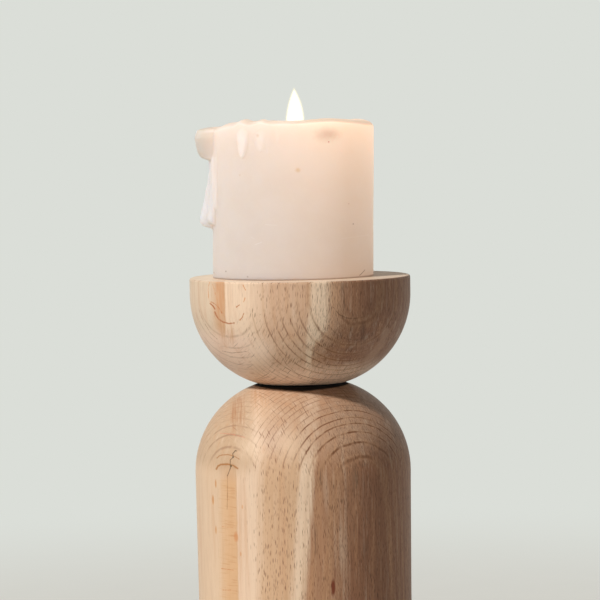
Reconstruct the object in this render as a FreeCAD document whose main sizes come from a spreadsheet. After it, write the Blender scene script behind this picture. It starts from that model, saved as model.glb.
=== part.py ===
"""Pricket candle stand: a turned beech body with a domed top, a turned half-round bowl screwed on it,
a steel spike in the bowl's flat face, and the pillar candle that stands on the spike.

Millimetres, +Z up. The origin is the middle of the felt foot's underside, the candle's spill is at -X,
and the side that the photograph shows looks towards -Y.
"""

import FreeCAD, Part
import math
import os

import Sketcher
from FreeCAD import Placement, Rotation, Vector

OUTPUT_FOLDER = "parts"
SHEET = "Sizes"

DRIVING_SIZES = (
    # turned body
    ("body_height", 150.0, "wood of the body, foot to flat top"),
    ("body_radius", 47.2, "widest radius, where the dome starts"),
    ("foot_radius", 46.2, "radius at the foot, a slight taper"),
    ("foot_round", 3.0, "rounded bottom edge"),
    ("dome_round", 40.2, "radius of the domed shoulder"),
    ("dome_flat_radius", 20.0, "flat on top of the dome"),
    # half-round bowl
    ("bowl_depth", 46.2, "flat underside to flat top"),
    ("bowl_radius", 48.2, "widest radius of the bowl"),
    ("bowl_band", 7.47, "straight wall above the bowl's round side"),
    ("bowl_flat_radius", 20.0, "flat under the bowl"),
    ("rim_round", 0.9, "broken edge of the flat top"),
    # washer and screwed joint
    ("washer_inset", 2.5, "black washer's edge inside the bowl's flat"),
    ("washer_thickness", 0.9, "washer thickness"),
    ("stud_radius", 4.0, "threaded stud, nominal"),
    ("stud_length", 26.0, "whole length of the stud"),
    ("stud_chamfer", 0.7, "chamfer on both stud ends"),
    ("stud_nut_radius", 5.75, "brass insert for the stud"),
    ("stud_nut_length", 15.0, "insert length"),
    ("stud_relief", 0.6, "room around the stud below an insert"),
    ("stud_relief_depth", 4.0, "drilled depth below an insert"),
    # spike and its insert
    ("spike_height", 27.0, "spike above the bowl's flat top"),
    ("shank_radius", 2.5, "straight part of the spike"),
    ("shank_height", 12.0, "height of the straight part"),
    ("tip_radius", 0.25, "blunted point"),
    ("flange_radius", 9.0, "flange let in flush with the wood"),
    ("flange_thickness", 2.0, "flange thickness"),
    ("spanner_hole_radius", 1.1, "two holes that turn the spike in"),
    ("spanner_hole_ring", 6.0, "their distance from the axis"),
    ("root_radius", 2.5, "threaded root of the spike, nominal"),
    ("root_length", 12.0, "root below the flange"),
    ("root_chamfer", 0.5, "chamfer on the root"),
    ("spike_nut_radius", 3.9, "brass insert for the root"),
    ("spike_nut_length", 13.0, "insert length"),
    # barbs of both kinds of insert
    ("barb_pitch", 3.0, "distance between barbs"),
    ("barb_width", 1.2, "width of the groove below a barb"),
    ("barb_depth", 0.5, "depth of that groove"),
    # felt foot
    ("felt_radius", 41.0, "felt disc"),
    ("felt_thickness", 2.0, "felt disc thickness"),
    ("felt_recess", 1.4, "depth of the recess that holds it"),
    # candle
    ("candle_radius", 35.0, "standard 70 mm pillar"),
    ("candle_height", 68.3, "burned down height to the rim"),
    ("candle_shift", 2.9, "how far left of the stand's axis it stands"),
    ("candle_foot_round", 0.8, "bottom edge"),
    ("candle_rim_round", 3.2, "softened outer rim"),
    ("well_lip_round", 1.8, "softened inner rim"),
    ("well_radius", 28.0, "inside of the rim"),
    ("well_depth", 8.5, "rim to the pool"),
    ("well_corner", 4.5, "round between wall and pool"),
    ("well_slope", 2.0, "how far the wall leans inwards"),
    ("spike_hole_gap", 0.3, "wax left clear around the spike"),
    # spilled wax on the left
    ("low_rim_start", 23.0, "where the rim starts to fall, from the candle's axis"),
    ("low_rim_fall", 3.2, "how far it has fallen at the candle's side"),
    ("lobe_reach", 7.6, "how far the folded lobe stands out"),
    ("lobe_drop", 14.0, "top of the lobe to its tip"),
    ("lobe_radius", 4.4, "fattest round of the lobe"),
    ("run_length", 34.0, "length of the run from below the rim to its foot"),
    ("run_radius", 4.6, "fattest round of the run"),
    ("run_reach", 5.7, "how far its foot stands out"),
    # drops on the front
    ("drop_thickness", 0.9, "how far a drop stands proud"),
    ("long_drop_height", 10.6, "taller drop"),
    ("long_drop_width", 5.0, "its width"),
    ("long_drop_below_rim", 11.0, "its middle below the rim"),
    ("short_drop_height", 8.0, "shorter drop"),
    ("short_drop_width", 4.6, "its width"),
    ("short_drop_below_rim", 10.0, "its middle below the rim"),
    # wick
    ("wick_radius", 1.2, "braided cotton wick"),
    ("wick_shift", 1.0, "right of the candle's middle"),
    ("wick_above_pool", 4.0, "height of the bent tip's start above the pool"),
    ("wick_bend", 3.0, "radius of the bent tip"),
    ("wick_above_spike", 1.5, "wax between the spike's hole and the wick"),
    ("wick_gap", 0.06, "wax clear around the wick"),
    # clearances
    ("fit_gap", 0.05, "radial clearance of metal in wood and stud in nut"),
    ("felt_gap", 0.5, "radial clearance of the felt in its recess"),
    ("cut_over", 2.0, "overrun of every cut past the face it starts from"),
)

LONG_DROP_AZIMUTH_DEG = 51.0
SHORT_DROP_AZIMUTH_DEG = 65.5
WICK_BEND_DEG = 62.0
# sections of the spilled wax from top to bottom, as shares of its drop, reach and fattest radius
LOBE_SECTION_SHARES = (
    (0.00, -0.30, 0.62),
    (0.14, 0.60, 0.90),
    (0.38, 1.00, 1.00),
    (0.68, 0.84, 0.72),
    (0.92, 0.66, 0.44),
    (1.00, 0.58, 0.24),
)
RUN_SECTION_SHARES = (
    (0.00, 0.10, 0.55),
    (0.25, 0.36, 0.72),
    (0.55, 0.58, 0.86),
    (0.86, 1.00, 1.00),
    (0.95, 0.90, 0.84),
    (1.00, 0.50, 0.50),
)
SPANNER_HOLES = 2
FULL_TURN_DEG = 360.0
HALF_TURN_DEG = 180.0

# how a sketch counts the points of a line, arc or circle from one up, and its own axes from minus one down
START_POINT, END_POINT, CENTRE_POINT = range(1, 4)
LEVEL_AXIS, UPRIGHT_AXIS = range(-1, -3, -1)
ORIGIN_POINT = (LEVEL_AXIS, START_POINT)


class Size:
    """A length that carries its number and the sheet formula that gives it."""

    def __init__(self, number, formula):
        self.number = number
        self.formula = formula

    def _with(self, other, sign, number):
        other_text = other.formula if isinstance(other, Size) else repr(float(other))
        return Size(number, f"({self.formula} {sign} {other_text})")

    def __add__(self, other):
        return self._with(other, "+", self.number + number_of(other))

    def __sub__(self, other):
        return self._with(other, "-", self.number - number_of(other))

    def __mul__(self, other):
        return self._with(other, "*", self.number * number_of(other))

    def __truediv__(self, other):
        return self._with(other, "/", self.number / number_of(other))

    def __neg__(self):
        return Size(-self.number, f"(-{self.formula})")


def number_of(value):
    return value.number if isinstance(value, Size) else float(value)


ZERO = Size(0.0, "0")


def other_leg(hypotenuse, leg):
    """The second leg of a right triangle, which is how far an arc has risen over that leg."""
    number = math.sqrt(hypotenuse.number**2 - leg.number**2)
    return Size(number, f"sqrt({hypotenuse.formula}^2 - {leg.formula}^2)")


class Sizes:
    """The sheet of driving sizes, one attribute for each alias."""

    def __init__(self, document):
        sheet = document.addObject("Spreadsheet::Sheet", SHEET)
        for row, (alias, number, meaning) in enumerate(DRIVING_SIZES, start=1):
            sheet.set(f"A{row}", alias)
            sheet.set(f"B{row}", str(number))
            sheet.set(f"C{row}", meaning)
            sheet.setAlias(f"B{row}", alias)
            setattr(self, alias, Size(number, f"{SHEET}.{alias}"))
        document.recompute()


def origin_plane(body, role):
    return next(f for f in body.Origin.OriginFeatures if f.Role == role)


def new_sketch(body, name, role="XZ_Plane"):
    sketch = body.newObject("Sketcher::SketchObject", name)
    sketch.AttachmentSupport = [(origin_plane(body, role), "")]
    sketch.MapMode = "FlatFace"
    return sketch


def hold_point(sketch, geometry, end, across, up, label):
    """Ties one end of a sketch line or arc to two sheet formulas."""
    for kind, axis, value in (("DistanceX", UPRIGHT_AXIS, across), ("DistanceY", LEVEL_AXIS, up)):
        if value is ZERO:
            sketch.addConstraint(Sketcher.Constraint("PointOnObject", geometry, end, axis))
            continue
        held = value if value.number >= 0 else -value
        point = (geometry, end)
        ends = ORIGIN_POINT + point if value.number >= 0 else point + ORIGIN_POINT
        place = sketch.addConstraint(Sketcher.Constraint(kind, *ends, held.number))
        name = f"{label}_{kind[-1].lower()}"
        sketch.renameConstraint(place, name)
        sketch.setExpression(f"Constraints.{name}", held.formula)


def draw_outline(sketch, points):
    """Closes an outline of lines and arcs. A point is (across, up), or (across, up, radius, turn) where an arc
    of that radius ends at it, turning left along the outline for +1 and right for -1."""
    ends = []
    for here, there in zip(points, points[1:] + points[:1]):
        start = Vector(here[0].number, here[1].number, 0)
        stop = Vector(there[0].number, there[1].number, 0)
        if len(there) == 2:
            number = sketch.addGeometry(Part.LineSegment(start, stop), False)
            ends.append((number, START_POINT, END_POINT))
            continue
        radius, turn = there[2], there[3]
        chord = stop - start
        aside = Vector(-chord.y, chord.x, 0).normalize() * turn
        reach = math.sqrt(max(radius.number**2 - (chord.Length / 2) ** 2, 0.0))
        centre = (start + stop) / 2 + aside * reach
        first, last = (start, stop) if turn > 0 else (stop, start)
        angles = [math.atan2(p.y - centre.y, p.x - centre.x) for p in (first, last)]
        circle = Part.Circle(centre, Vector(0, 0, 1), radius.number)
        number = sketch.addGeometry(Part.ArcOfCircle(circle, *angles), False)
        ends.append((number, START_POINT, END_POINT) if turn > 0 else (number, END_POINT, START_POINT))
        label = f"r{number}"
        place = sketch.addConstraint(Sketcher.Constraint("Radius", number, radius.number))
        sketch.renameConstraint(place, label)
        sketch.setExpression(f"Constraints.{label}", radius.formula)
    for (a, _, a_end), (b, b_start, _) in zip(ends, ends[1:] + ends[:1]):
        sketch.addConstraint(Sketcher.Constraint("Coincident", a, a_end, b, b_start))
    for (number, start_end, _), point in zip(ends, points):
        hold_point(sketch, number, start_end, point[0], point[1], f"p{number}")
    return sketch


def draw_circle(sketch, across, radius):
    """A circle on the sketch's first axis, its place and radius tied to the sheet."""
    centre = Vector(across.number, 0, 0)
    number = sketch.addGeometry(Part.Circle(centre, Vector(0, 0, 1), radius.number), False)
    if across is ZERO:
        sketch.addConstraint(Sketcher.Constraint("Coincident", number, CENTRE_POINT, *ORIGIN_POINT))
    else:
        hold_point(sketch, number, CENTRE_POINT, across, ZERO, "centre")
    place = sketch.addConstraint(Sketcher.Constraint("Radius", number, radius.number))
    sketch.renameConstraint(place, "radius")
    sketch.setExpression("Constraints.radius", radius.formula)


def new_body(document, label):
    body = document.addObject("PartDesign::Body", label)
    body.Label = label
    return body


def place_body(body, across=ZERO, up=ZERO, turned_deg=0.0):
    body.Placement = Placement(Vector(0, 0, 0), Rotation(Vector(0, 0, 1), turned_deg))
    for axis, value in (("x", across), ("z", up)):
        if value is not ZERO:
            body.setExpression(f"Placement.Base.{axis}", value.formula)


def revolve(body, kind, name, points):
    """Turns an outline about the body's own Z axis, as material or as a cut."""
    sketch = draw_outline(new_sketch(body, f"{name}_outline"), points)
    feature = body.newObject(f"PartDesign::{kind}", name)
    feature.Profile = sketch
    feature.ReferenceAxis = (sketch, ["V_Axis"])
    feature.Angle = FULL_TURN_DEG
    sketch.Visibility = False
    body.Document.recompute()
    return feature


def volume_of(body):
    return body.Shape.Volume


def must_shrink(body, before, what):
    if volume_of(body) >= before:
        raise RuntimeError(f"{what} cut nothing from {body.Label}")


def cut_round(body, name, points):
    """Turns an outline away from what the body has so far."""
    before = volume_of(body)
    feature = revolve(body, "Groove", name, points)
    must_shrink(body, before, name)
    return feature


def make_turned_body(document, s):
    """The beech body: a slightly tapered cylinder with a big domed shoulder and a small flat top."""
    body = new_body(document, "turned_body")
    flat_past_centre = s.dome_flat_radius - (s.body_radius - s.dome_round)
    shoulder = s.body_height - other_leg(s.dome_round, flat_past_centre)
    revolve(body, "Revolution", "body_blank", [
        (ZERO, ZERO),
        (s.foot_radius - s.foot_round, ZERO),
        (s.foot_radius, s.foot_round, s.foot_round, 1),
        (s.body_radius, shoulder),
        (s.dome_flat_radius, s.body_height, s.dome_round, 1),
        (ZERO, s.body_height),
    ])
    bore = s.stud_nut_radius + s.fit_gap
    nut_seat = s.body_height - s.stud_nut_length
    relief = s.stud_radius + s.stud_relief
    cut_round(body, "stud_nut_bore", [
        (ZERO, s.body_height + s.cut_over),
        (ZERO, nut_seat - s.stud_relief_depth),
        (relief, nut_seat - s.stud_relief_depth),
        (relief, nut_seat),
        (bore, nut_seat),
        (bore, s.body_height + s.cut_over),
    ])
    recess_radius = s.felt_radius + s.felt_gap
    cut_round(body, "felt_seat", [
        (ZERO, -s.cut_over),
        (recess_radius, -s.cut_over),
        (recess_radius, s.felt_recess),
        (ZERO, s.felt_recess),
    ])
    place_body(body, up=s.felt_thickness - s.felt_recess)
    return body


def bowl_base(s):
    """Height of the bowl's flat underside above the origin."""
    return s.felt_thickness - s.felt_recess + s.body_height + s.washer_thickness


def bowl_top(s):
    return bowl_base(s) + s.bowl_depth


def make_candle_bowl(document, s):
    """The beech bowl: flat on top, round below, bored from both sides."""
    body = new_body(document, "candle_bowl")
    round_height = s.bowl_depth - s.bowl_band
    round_width = s.bowl_radius - s.bowl_flat_radius
    bowl_round = (round_width * round_width + round_height * round_height) / (round_width * 2)
    revolve(body, "Revolution", "bowl_blank", [
        (ZERO, ZERO),
        (s.bowl_flat_radius, ZERO),
        (s.bowl_radius, round_height, bowl_round, 1),
        (s.bowl_radius, s.bowl_depth - s.rim_round),
        (s.bowl_radius - s.rim_round, s.bowl_depth, s.rim_round, 1),
        (ZERO, s.bowl_depth),
    ])
    flange_seat = s.bowl_depth - s.flange_thickness
    spike_bore = s.spike_nut_radius + s.fit_gap
    flange_bore = s.flange_radius + s.fit_gap
    cut_round(body, "spike_bore", [
        (ZERO, s.bowl_depth + s.cut_over),
        (ZERO, flange_seat - s.spike_nut_length),
        (spike_bore, flange_seat - s.spike_nut_length),
        (spike_bore, flange_seat),
        (flange_bore, flange_seat),
        (flange_bore, s.bowl_depth + s.cut_over),
    ])
    stud_bore = s.stud_nut_radius + s.fit_gap
    cut_round(body, "stud_bore", [
        (ZERO, -s.cut_over),
        (stud_bore, -s.cut_over),
        (stud_bore, s.stud_nut_length),
        (ZERO, s.stud_nut_length),
    ])
    place_body(body, up=bowl_base(s))
    return body


def make_nut(document, s, label, bore, radius, length, up):
    """A brass insert: a plain bore, and barbs outside that bite into the wood."""
    body = new_body(document, label)
    revolve(body, "Revolution", f"{label}_blank", [
        (bore, ZERO),
        (radius, ZERO),
        (radius, length),
        (bore, length),
    ])
    groove = cut_round(body, f"{label}_barb", [
        (radius + s.barb_depth, s.barb_width),
        (radius + s.barb_depth, s.barb_width + s.barb_width),
        (radius, s.barb_width + s.barb_width),
        (radius - s.barb_depth, s.barb_width),
    ])
    pattern = body.newObject("PartDesign::LinearPattern", f"{label}_barbs")
    pattern.Originals = [groove]
    pattern.Direction = (groove.Profile[0], ["V_Axis"])
    count = int((length.number - s.barb_width.number) // s.barb_pitch.number)
    pattern.Occurrences = count
    pattern.setExpression("Length", (s.barb_pitch * (count - 1)).formula)
    body.Tip = pattern
    document.recompute()
    place_body(body, up=up)
    return body


def make_joining_stud(document, s):
    """The steel stud that holds bowl and body together, half in each insert."""
    body = new_body(document, "joining_stud")
    narrow = s.stud_radius - s.stud_chamfer
    revolve(body, "Revolution", "stud_blank", [
        (ZERO, ZERO),
        (narrow, ZERO),
        (s.stud_radius, s.stud_chamfer),
        (s.stud_radius, s.stud_length - s.stud_chamfer),
        (narrow, s.stud_length),
        (ZERO, s.stud_length),
    ])
    place_body(body, up=bowl_base(s) - s.washer_thickness / 2 - s.stud_length / 2)
    return body


def make_joint_washer(document, s):
    """The thin black washer in the slit between the bowl and the dome."""
    body = new_body(document, "joint_washer")
    bore = s.stud_radius + s.fit_gap
    washer_radius = s.bowl_flat_radius - s.washer_inset
    revolve(body, "Revolution", "washer_ring", [
        (bore, ZERO),
        (washer_radius, ZERO),
        (washer_radius, s.washer_thickness),
        (bore, s.washer_thickness),
    ])
    place_body(body, up=bowl_base(s) - s.washer_thickness)
    return body


def make_felt_foot(document, s):
    """The felt disc let into the underside."""
    body = new_body(document, "felt_foot")
    revolve(body, "Revolution", "felt_disc", [
        (ZERO, ZERO),
        (s.felt_radius, ZERO),
        (s.felt_radius, s.felt_thickness),
        (ZERO, s.felt_thickness),
    ])
    return body


def make_pricket_spike(document, s):
    """The spike: a pointed shank on a flush flange, with a threaded root below and two spanner holes."""
    body = new_body(document, "pricket_spike")
    root_end = -(s.flange_thickness + s.root_length)
    revolve(body, "Revolution", "spike_blank", [
        (ZERO, root_end),
        (s.root_radius - s.root_chamfer, root_end),
        (s.root_radius, root_end + s.root_chamfer),
        (s.root_radius, -s.flange_thickness),
        (s.flange_radius, -s.flange_thickness),
        (s.flange_radius, ZERO),
        (s.shank_radius, ZERO),
        (s.shank_radius, s.shank_height),
        (s.tip_radius, s.spike_height),
        (ZERO, s.spike_height),
    ])
    sketch = new_sketch(body, "spanner_hole_circle", "XY_Plane")
    draw_circle(sketch, s.spanner_hole_ring, s.spanner_hole_radius)
    before = volume_of(body)
    pocket = body.newObject("PartDesign::Pocket", "spanner_hole")
    pocket.Profile = sketch
    pocket.setExpression("Length", (s.flange_thickness + s.cut_over).formula)
    document.recompute()
    must_shrink(body, before, "spanner hole")
    pattern = body.newObject("PartDesign::PolarPattern", "spanner_holes")
    pattern.Originals = [pocket]
    pattern.Axis = (sketch, ["N_Axis"])
    pattern.Angle = FULL_TURN_DEG
    pattern.Occurrences = SPANNER_HOLES
    body.Tip = pattern
    document.recompute()
    place_body(body, up=bowl_top(s))
    return body


def make_candle_wax(document, s):
    """The pillar candle: a melted rim and well, the spike's hole, and the wax that ran over on the left.
    Drawn with the spill at +X, and turned half round when placed."""
    body = new_body(document, "candle_wax")
    height = s.candle_height
    pool = height - s.well_depth
    well_floor_radius = s.well_radius - s.well_lip_round - s.well_slope - s.well_corner
    revolve(body, "Revolution", "candle_blank", [
        (ZERO, ZERO),
        (s.candle_radius - s.candle_foot_round, ZERO),
        (s.candle_radius, s.candle_foot_round, s.candle_foot_round, 1),
        (s.candle_radius, height - s.candle_rim_round),
        (s.candle_radius - s.candle_rim_round, height, s.candle_rim_round, 1),
        (s.well_radius, height),
        (s.well_radius - s.well_lip_round, height - s.well_lip_round, s.well_lip_round, 1),
        (well_floor_radius + s.well_corner, pool + s.well_corner),
        (well_floor_radius, pool, s.well_corner, -1),
        (ZERO, pool),
    ])
    cut_low_rim(body, s)
    rim_low = height - s.low_rim_fall
    add_spilled_wax(body, s, "spill_lobe", rim_low, s.lobe_drop, s.lobe_reach, s.lobe_radius,
                    LOBE_SECTION_SHARES)
    add_spilled_wax(body, s, "spill_run", rim_low - s.lobe_drop / 2, s.run_length, s.run_reach, s.run_radius,
                    RUN_SECTION_SHARES)
    add_drop(body, s, "long_drop", LONG_DROP_AZIMUTH_DEG, s.long_drop_height, s.long_drop_width,
             s.long_drop_below_rim)
    add_drop(body, s, "short_drop", SHORT_DROP_AZIMUTH_DEG, s.short_drop_height, s.short_drop_width,
             s.short_drop_below_rim)
    hole_radius = s.shank_radius + s.spike_hole_gap
    cut_cylinder(body, "spike_hole", -s.candle_shift, -s.cut_over, hole_radius,
                 s.spike_height + s.spike_hole_gap + s.cut_over)
    wick_foot = s.spike_height + s.wick_above_spike
    cut_cylinder(body, "wick_hole", -s.wick_shift, wick_foot, s.wick_radius + s.wick_gap,
                 pool - wick_foot + s.cut_over)
    place_body(body, across=-s.candle_shift, up=bowl_top(s), turned_deg=HALF_TURN_DEG)
    return body


def cut_cylinder(body, name, across, up, radius, height):
    before = volume_of(body)
    cut = body.newObject("PartDesign::SubtractiveCylinder", name)
    cut.setExpression("Radius", radius.formula)
    cut.setExpression("Height", height.formula)
    cut.setExpression("Placement.Base.x", across.formula)
    cut.setExpression("Placement.Base.z", up.formula)
    body.Document.recompute()
    must_shrink(body, before, name)


def cut_low_rim(body, s):
    """The side of the rim that melted lower, where wax ran over."""
    before = volume_of(body)
    low = s.candle_height - s.low_rim_fall
    outside = s.candle_radius + s.cut_over
    sketch = draw_outline(new_sketch(body, "low_rim_outline"), [
        (s.low_rim_start, s.candle_height),
        (s.candle_radius, low),
        (outside, low),
        (outside, s.candle_height + s.cut_over),
        (s.low_rim_start, s.candle_height + s.cut_over),
    ])
    pocket = body.newObject("PartDesign::Pocket", "low_rim")
    pocket.Profile = sketch
    pocket.Midplane = True
    pocket.setExpression("Length", (s.candle_radius * 2 + s.cut_over * 2).formula)
    sketch.Visibility = False
    body.Document.recompute()
    must_shrink(body, before, "low rim")


def add_spilled_wax(body, s, name, top, drop, reach, radius, section_shares):
    """Wax that ran down the outside: a smooth loft through level circles whose outer edge stands proud
    of the candle by a share of the reach."""
    sections = []
    for number, (drop_share, reach_share, radius_share) in enumerate(section_shares):
        section = new_sketch(body, f"{name}_section_{number}", "XY_Plane")
        section.setExpression("AttachmentOffset.Base.z", (top - drop * drop_share).formula)
        round_radius = radius * radius_share
        draw_circle(section, s.candle_radius + reach * reach_share - round_radius, round_radius)
        sections.append(section)
    body.Document.recompute()
    before = volume_of(body)
    loft = body.newObject("PartDesign::AdditiveLoft", name)
    loft.Profile = sections[0]
    loft.Sections = sections[1:]
    body.Document.recompute()
    if volume_of(body) <= before:
        raise RuntimeError(f"{name} added no wax")


def add_drop(body, s, name, azimuth_deg, height, width, below_rim):
    """A flat drop of wax on the candle's side: an ellipsoid sunk into it up to its thickness."""
    drop = body.newObject("PartDesign::AdditiveEllipsoid", name)
    drop.setExpression("Radius1", (height / 2).formula)
    drop.setExpression("Radius2", s.drop_thickness.formula)
    drop.setExpression("Radius3", (width / 2).formula)
    turn = math.radians(azimuth_deg)
    drop.Placement = Placement(Vector(0, 0, 0), Rotation(Vector(0, 0, 1), azimuth_deg))
    drop.setExpression("Placement.Base.x", (s.candle_radius * math.cos(turn)).formula)
    drop.setExpression("Placement.Base.y", (s.candle_radius * math.sin(turn)).formula)
    drop.setExpression("Placement.Base.z", (s.candle_height - below_rim).formula)
    body.Document.recompute()


def make_candle_wick(document, s):
    """The wick, straight in the wax and bent over at its burned end."""
    body = new_body(document, "candle_wick")
    foot = s.spike_height + s.wick_above_spike
    bend_start = s.candle_height - s.well_depth + s.wick_above_pool
    turn = math.radians(WICK_BEND_DEG)
    end_across = s.wick_bend * (1 - math.cos(turn))
    end_up = bend_start + s.wick_bend * math.sin(turn)
    path = new_sketch(body, "wick_path")
    line = path.addGeometry(Part.LineSegment(Vector(0, foot.number, 0), Vector(0, bend_start.number, 0)), False)
    centre = Vector(s.wick_bend.number, bend_start.number, 0)
    circle = Part.Circle(centre, Vector(0, 0, 1), s.wick_bend.number)
    arc = path.addGeometry(Part.ArcOfCircle(circle, math.pi - turn, math.pi), False)
    path.addConstraint(Sketcher.Constraint("Coincident", line, END_POINT, arc, END_POINT))
    hold_point(path, line, START_POINT, ZERO, foot, "foot")
    hold_point(path, line, END_POINT, ZERO, bend_start, "bend")
    hold_point(path, arc, START_POINT, end_across, end_up, "end")
    place = path.addConstraint(Sketcher.Constraint("Radius", arc, s.wick_bend.number))
    path.renameConstraint(place, "bend_r")
    path.setExpression("Constraints.bend_r", s.wick_bend.formula)
    section = new_sketch(body, "wick_section", "XY_Plane")
    section.setExpression("AttachmentOffset.Base.z", foot.formula)
    draw_circle(section, ZERO, s.wick_radius)
    document.recompute()
    pipe = body.newObject("PartDesign::AdditivePipe", "wick_pipe")
    pipe.Profile = section
    pipe.Spine = (path, [])
    document.recompute()
    place_body(body, across=s.wick_shift - s.candle_shift, up=bowl_top(s))
    return body


def main():
    document = FreeCAD.newDocument("candle_stand")
    s = Sizes(document)
    stud_bore = s.stud_radius + s.fit_gap
    body_top = s.felt_thickness - s.felt_recess + s.body_height
    spike_nut_seat = bowl_top(s) - s.flange_thickness - s.spike_nut_length
    nodes = [
        make_felt_foot(document, s),
        make_turned_body(document, s),
        make_nut(document, s, "body_nut", stud_bore, s.stud_nut_radius, s.stud_nut_length,
                 body_top - s.stud_nut_length),
        make_joint_washer(document, s),
        make_joining_stud(document, s),
        make_candle_bowl(document, s),
        make_nut(document, s, "bowl_nut", stud_bore, s.stud_nut_radius, s.stud_nut_length, bowl_base(s)),
        make_nut(document, s, "spike_nut", s.root_radius + s.fit_gap, s.spike_nut_radius,
                 s.spike_nut_length, spike_nut_seat),
        make_pricket_spike(document, s),
        make_candle_wax(document, s),
        make_candle_wick(document, s),
    ]
    document.recompute()
    for item in document.Objects:
        if "Invalid" in item.State or "Error" in item.State:
            raise RuntimeError(f"{item.Label} failed: {item.State}")
    for node in nodes:
        if node.Shape.isNull() or not node.Shape.isValid():
            raise RuntimeError(f"{node.Label} has no valid shape")
    os.makedirs(OUTPUT_FOLDER, exist_ok=True)
    for node in nodes:
        node.Shape.exportStep(os.path.join(OUTPUT_FOLDER, f"{node.Label}.step"))
        print(f"{node.Label}: {len(node.Shape.Solids)} solid, {node.Shape.Volume:.0f} mm3")


main()
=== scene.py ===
"""The looks of the pricket candle stand: oiled beech, a lit pillar candle with spilled wax, and hidden metal.

Metres, in the frame of the CAD model: +Z up, the photograph looks along +Y, the spilled wax is at -X. The
wood's and the wax's own values are millimetres, and colours are sRGB from 0 to 255.
"""

import math
import random

import bpy
import numpy as np
from mathutils import Matrix, Vector


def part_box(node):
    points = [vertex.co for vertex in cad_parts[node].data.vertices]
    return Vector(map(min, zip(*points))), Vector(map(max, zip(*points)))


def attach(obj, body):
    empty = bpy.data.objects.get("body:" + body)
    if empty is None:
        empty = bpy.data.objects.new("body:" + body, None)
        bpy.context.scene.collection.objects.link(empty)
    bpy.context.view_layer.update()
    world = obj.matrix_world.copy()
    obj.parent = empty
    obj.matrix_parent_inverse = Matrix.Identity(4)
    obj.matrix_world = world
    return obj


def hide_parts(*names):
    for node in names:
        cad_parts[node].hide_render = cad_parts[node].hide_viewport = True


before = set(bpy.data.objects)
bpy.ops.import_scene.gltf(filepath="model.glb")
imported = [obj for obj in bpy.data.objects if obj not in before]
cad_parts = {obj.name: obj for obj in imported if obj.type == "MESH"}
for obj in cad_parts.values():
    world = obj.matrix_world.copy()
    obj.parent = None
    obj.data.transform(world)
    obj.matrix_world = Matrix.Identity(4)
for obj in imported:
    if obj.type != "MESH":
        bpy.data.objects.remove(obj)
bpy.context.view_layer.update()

MM = 0.001
TINY = 1e-6
FULL_TURN = 2 * math.pi
QUARTER_TURN = math.pi / 2

# where things are, from the frame
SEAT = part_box("candle_bowl")[1].z
BODY_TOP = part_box("turned_body")[1].z / MM
BOWL_FOOT, BOWL_TOP = (corner.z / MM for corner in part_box("candle_bowl"))
WAX_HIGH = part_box("candle_wax")[1]
FELT_LOW, FELT_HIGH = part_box("felt_foot")
SPIKE_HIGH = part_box("pricket_spike")[1]
WICK_LOW, WICK_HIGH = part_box("candle_wick")

# the camera, as the photograph was taken
LENS_MM = 180.0
SENSOR_MM = 36.0
CAMERA_DISTANCE = 1.309
EYE_HEIGHT = 0.2675
CAMERA_ACROSS = -0.0001
PITCH_DEG = 3.51
ROLL_DEG = 1.0
FRAME_PIXELS = 600

# the light
KEY_AZIMUTH_DEG = 47.0
KEY_HEIGHT_DEG = 41.0
KEY_STRENGTH = 3.25
KEY_SPREAD_DEG = 5.0
KEY_COLOUR = (1.0, 0.975, 0.94)
FILL_STRENGTH = 0.14
FILL_COLOUR = (1.0, 0.97, 0.94)
BACKDROP = (219, 222, 216)
FLOOR = (228, 229, 224)
FLOOR_EDGES = (6.0, 1.5, 0.5, 0.2, 0.05)
FLOOR_FADE = (0.28, 0.75)


def rgba(srgb):
    """A colour as the linear value that shaders take."""
    shares = [c / 255 for c in srgb]
    return (*(c / 12.92 if c <= 0.04045 else ((c + 0.055) / 1.055) ** 2.4 for c in shares), 1.0)


def camera_place():
    looking_level = Matrix.Rotation(math.radians(90.0 - PITCH_DEG), 4, "X")
    rolled = Matrix.Rotation(math.radians(-ROLL_DEG), 4, "Z")
    return Matrix.Translation((CAMERA_ACROSS, -CAMERA_DISTANCE, EYE_HEIGHT)) @ looking_level @ rolled


def sign(operation, swapped=False):
    """A sign between two numbers of a shader, as a Math node."""
    def apply(number, other=0.0):
        values = (other, number) if swapped else (number, other)
        return number.graph.math(operation, *values)
    return apply


class Number:
    """A number in a shader. A sum written with it adds Math nodes."""

    def __init__(self, graph, socket):
        self.graph = graph
        self.socket = socket

    __add__ = __radd__ = sign("ADD")
    __mul__ = __rmul__ = sign("MULTIPLY")
    __sub__ = sign("SUBTRACT")
    __rsub__ = sign("SUBTRACT", swapped=True)
    __truediv__ = sign("DIVIDE")
    __abs__ = sign("ABSOLUTE")


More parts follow.
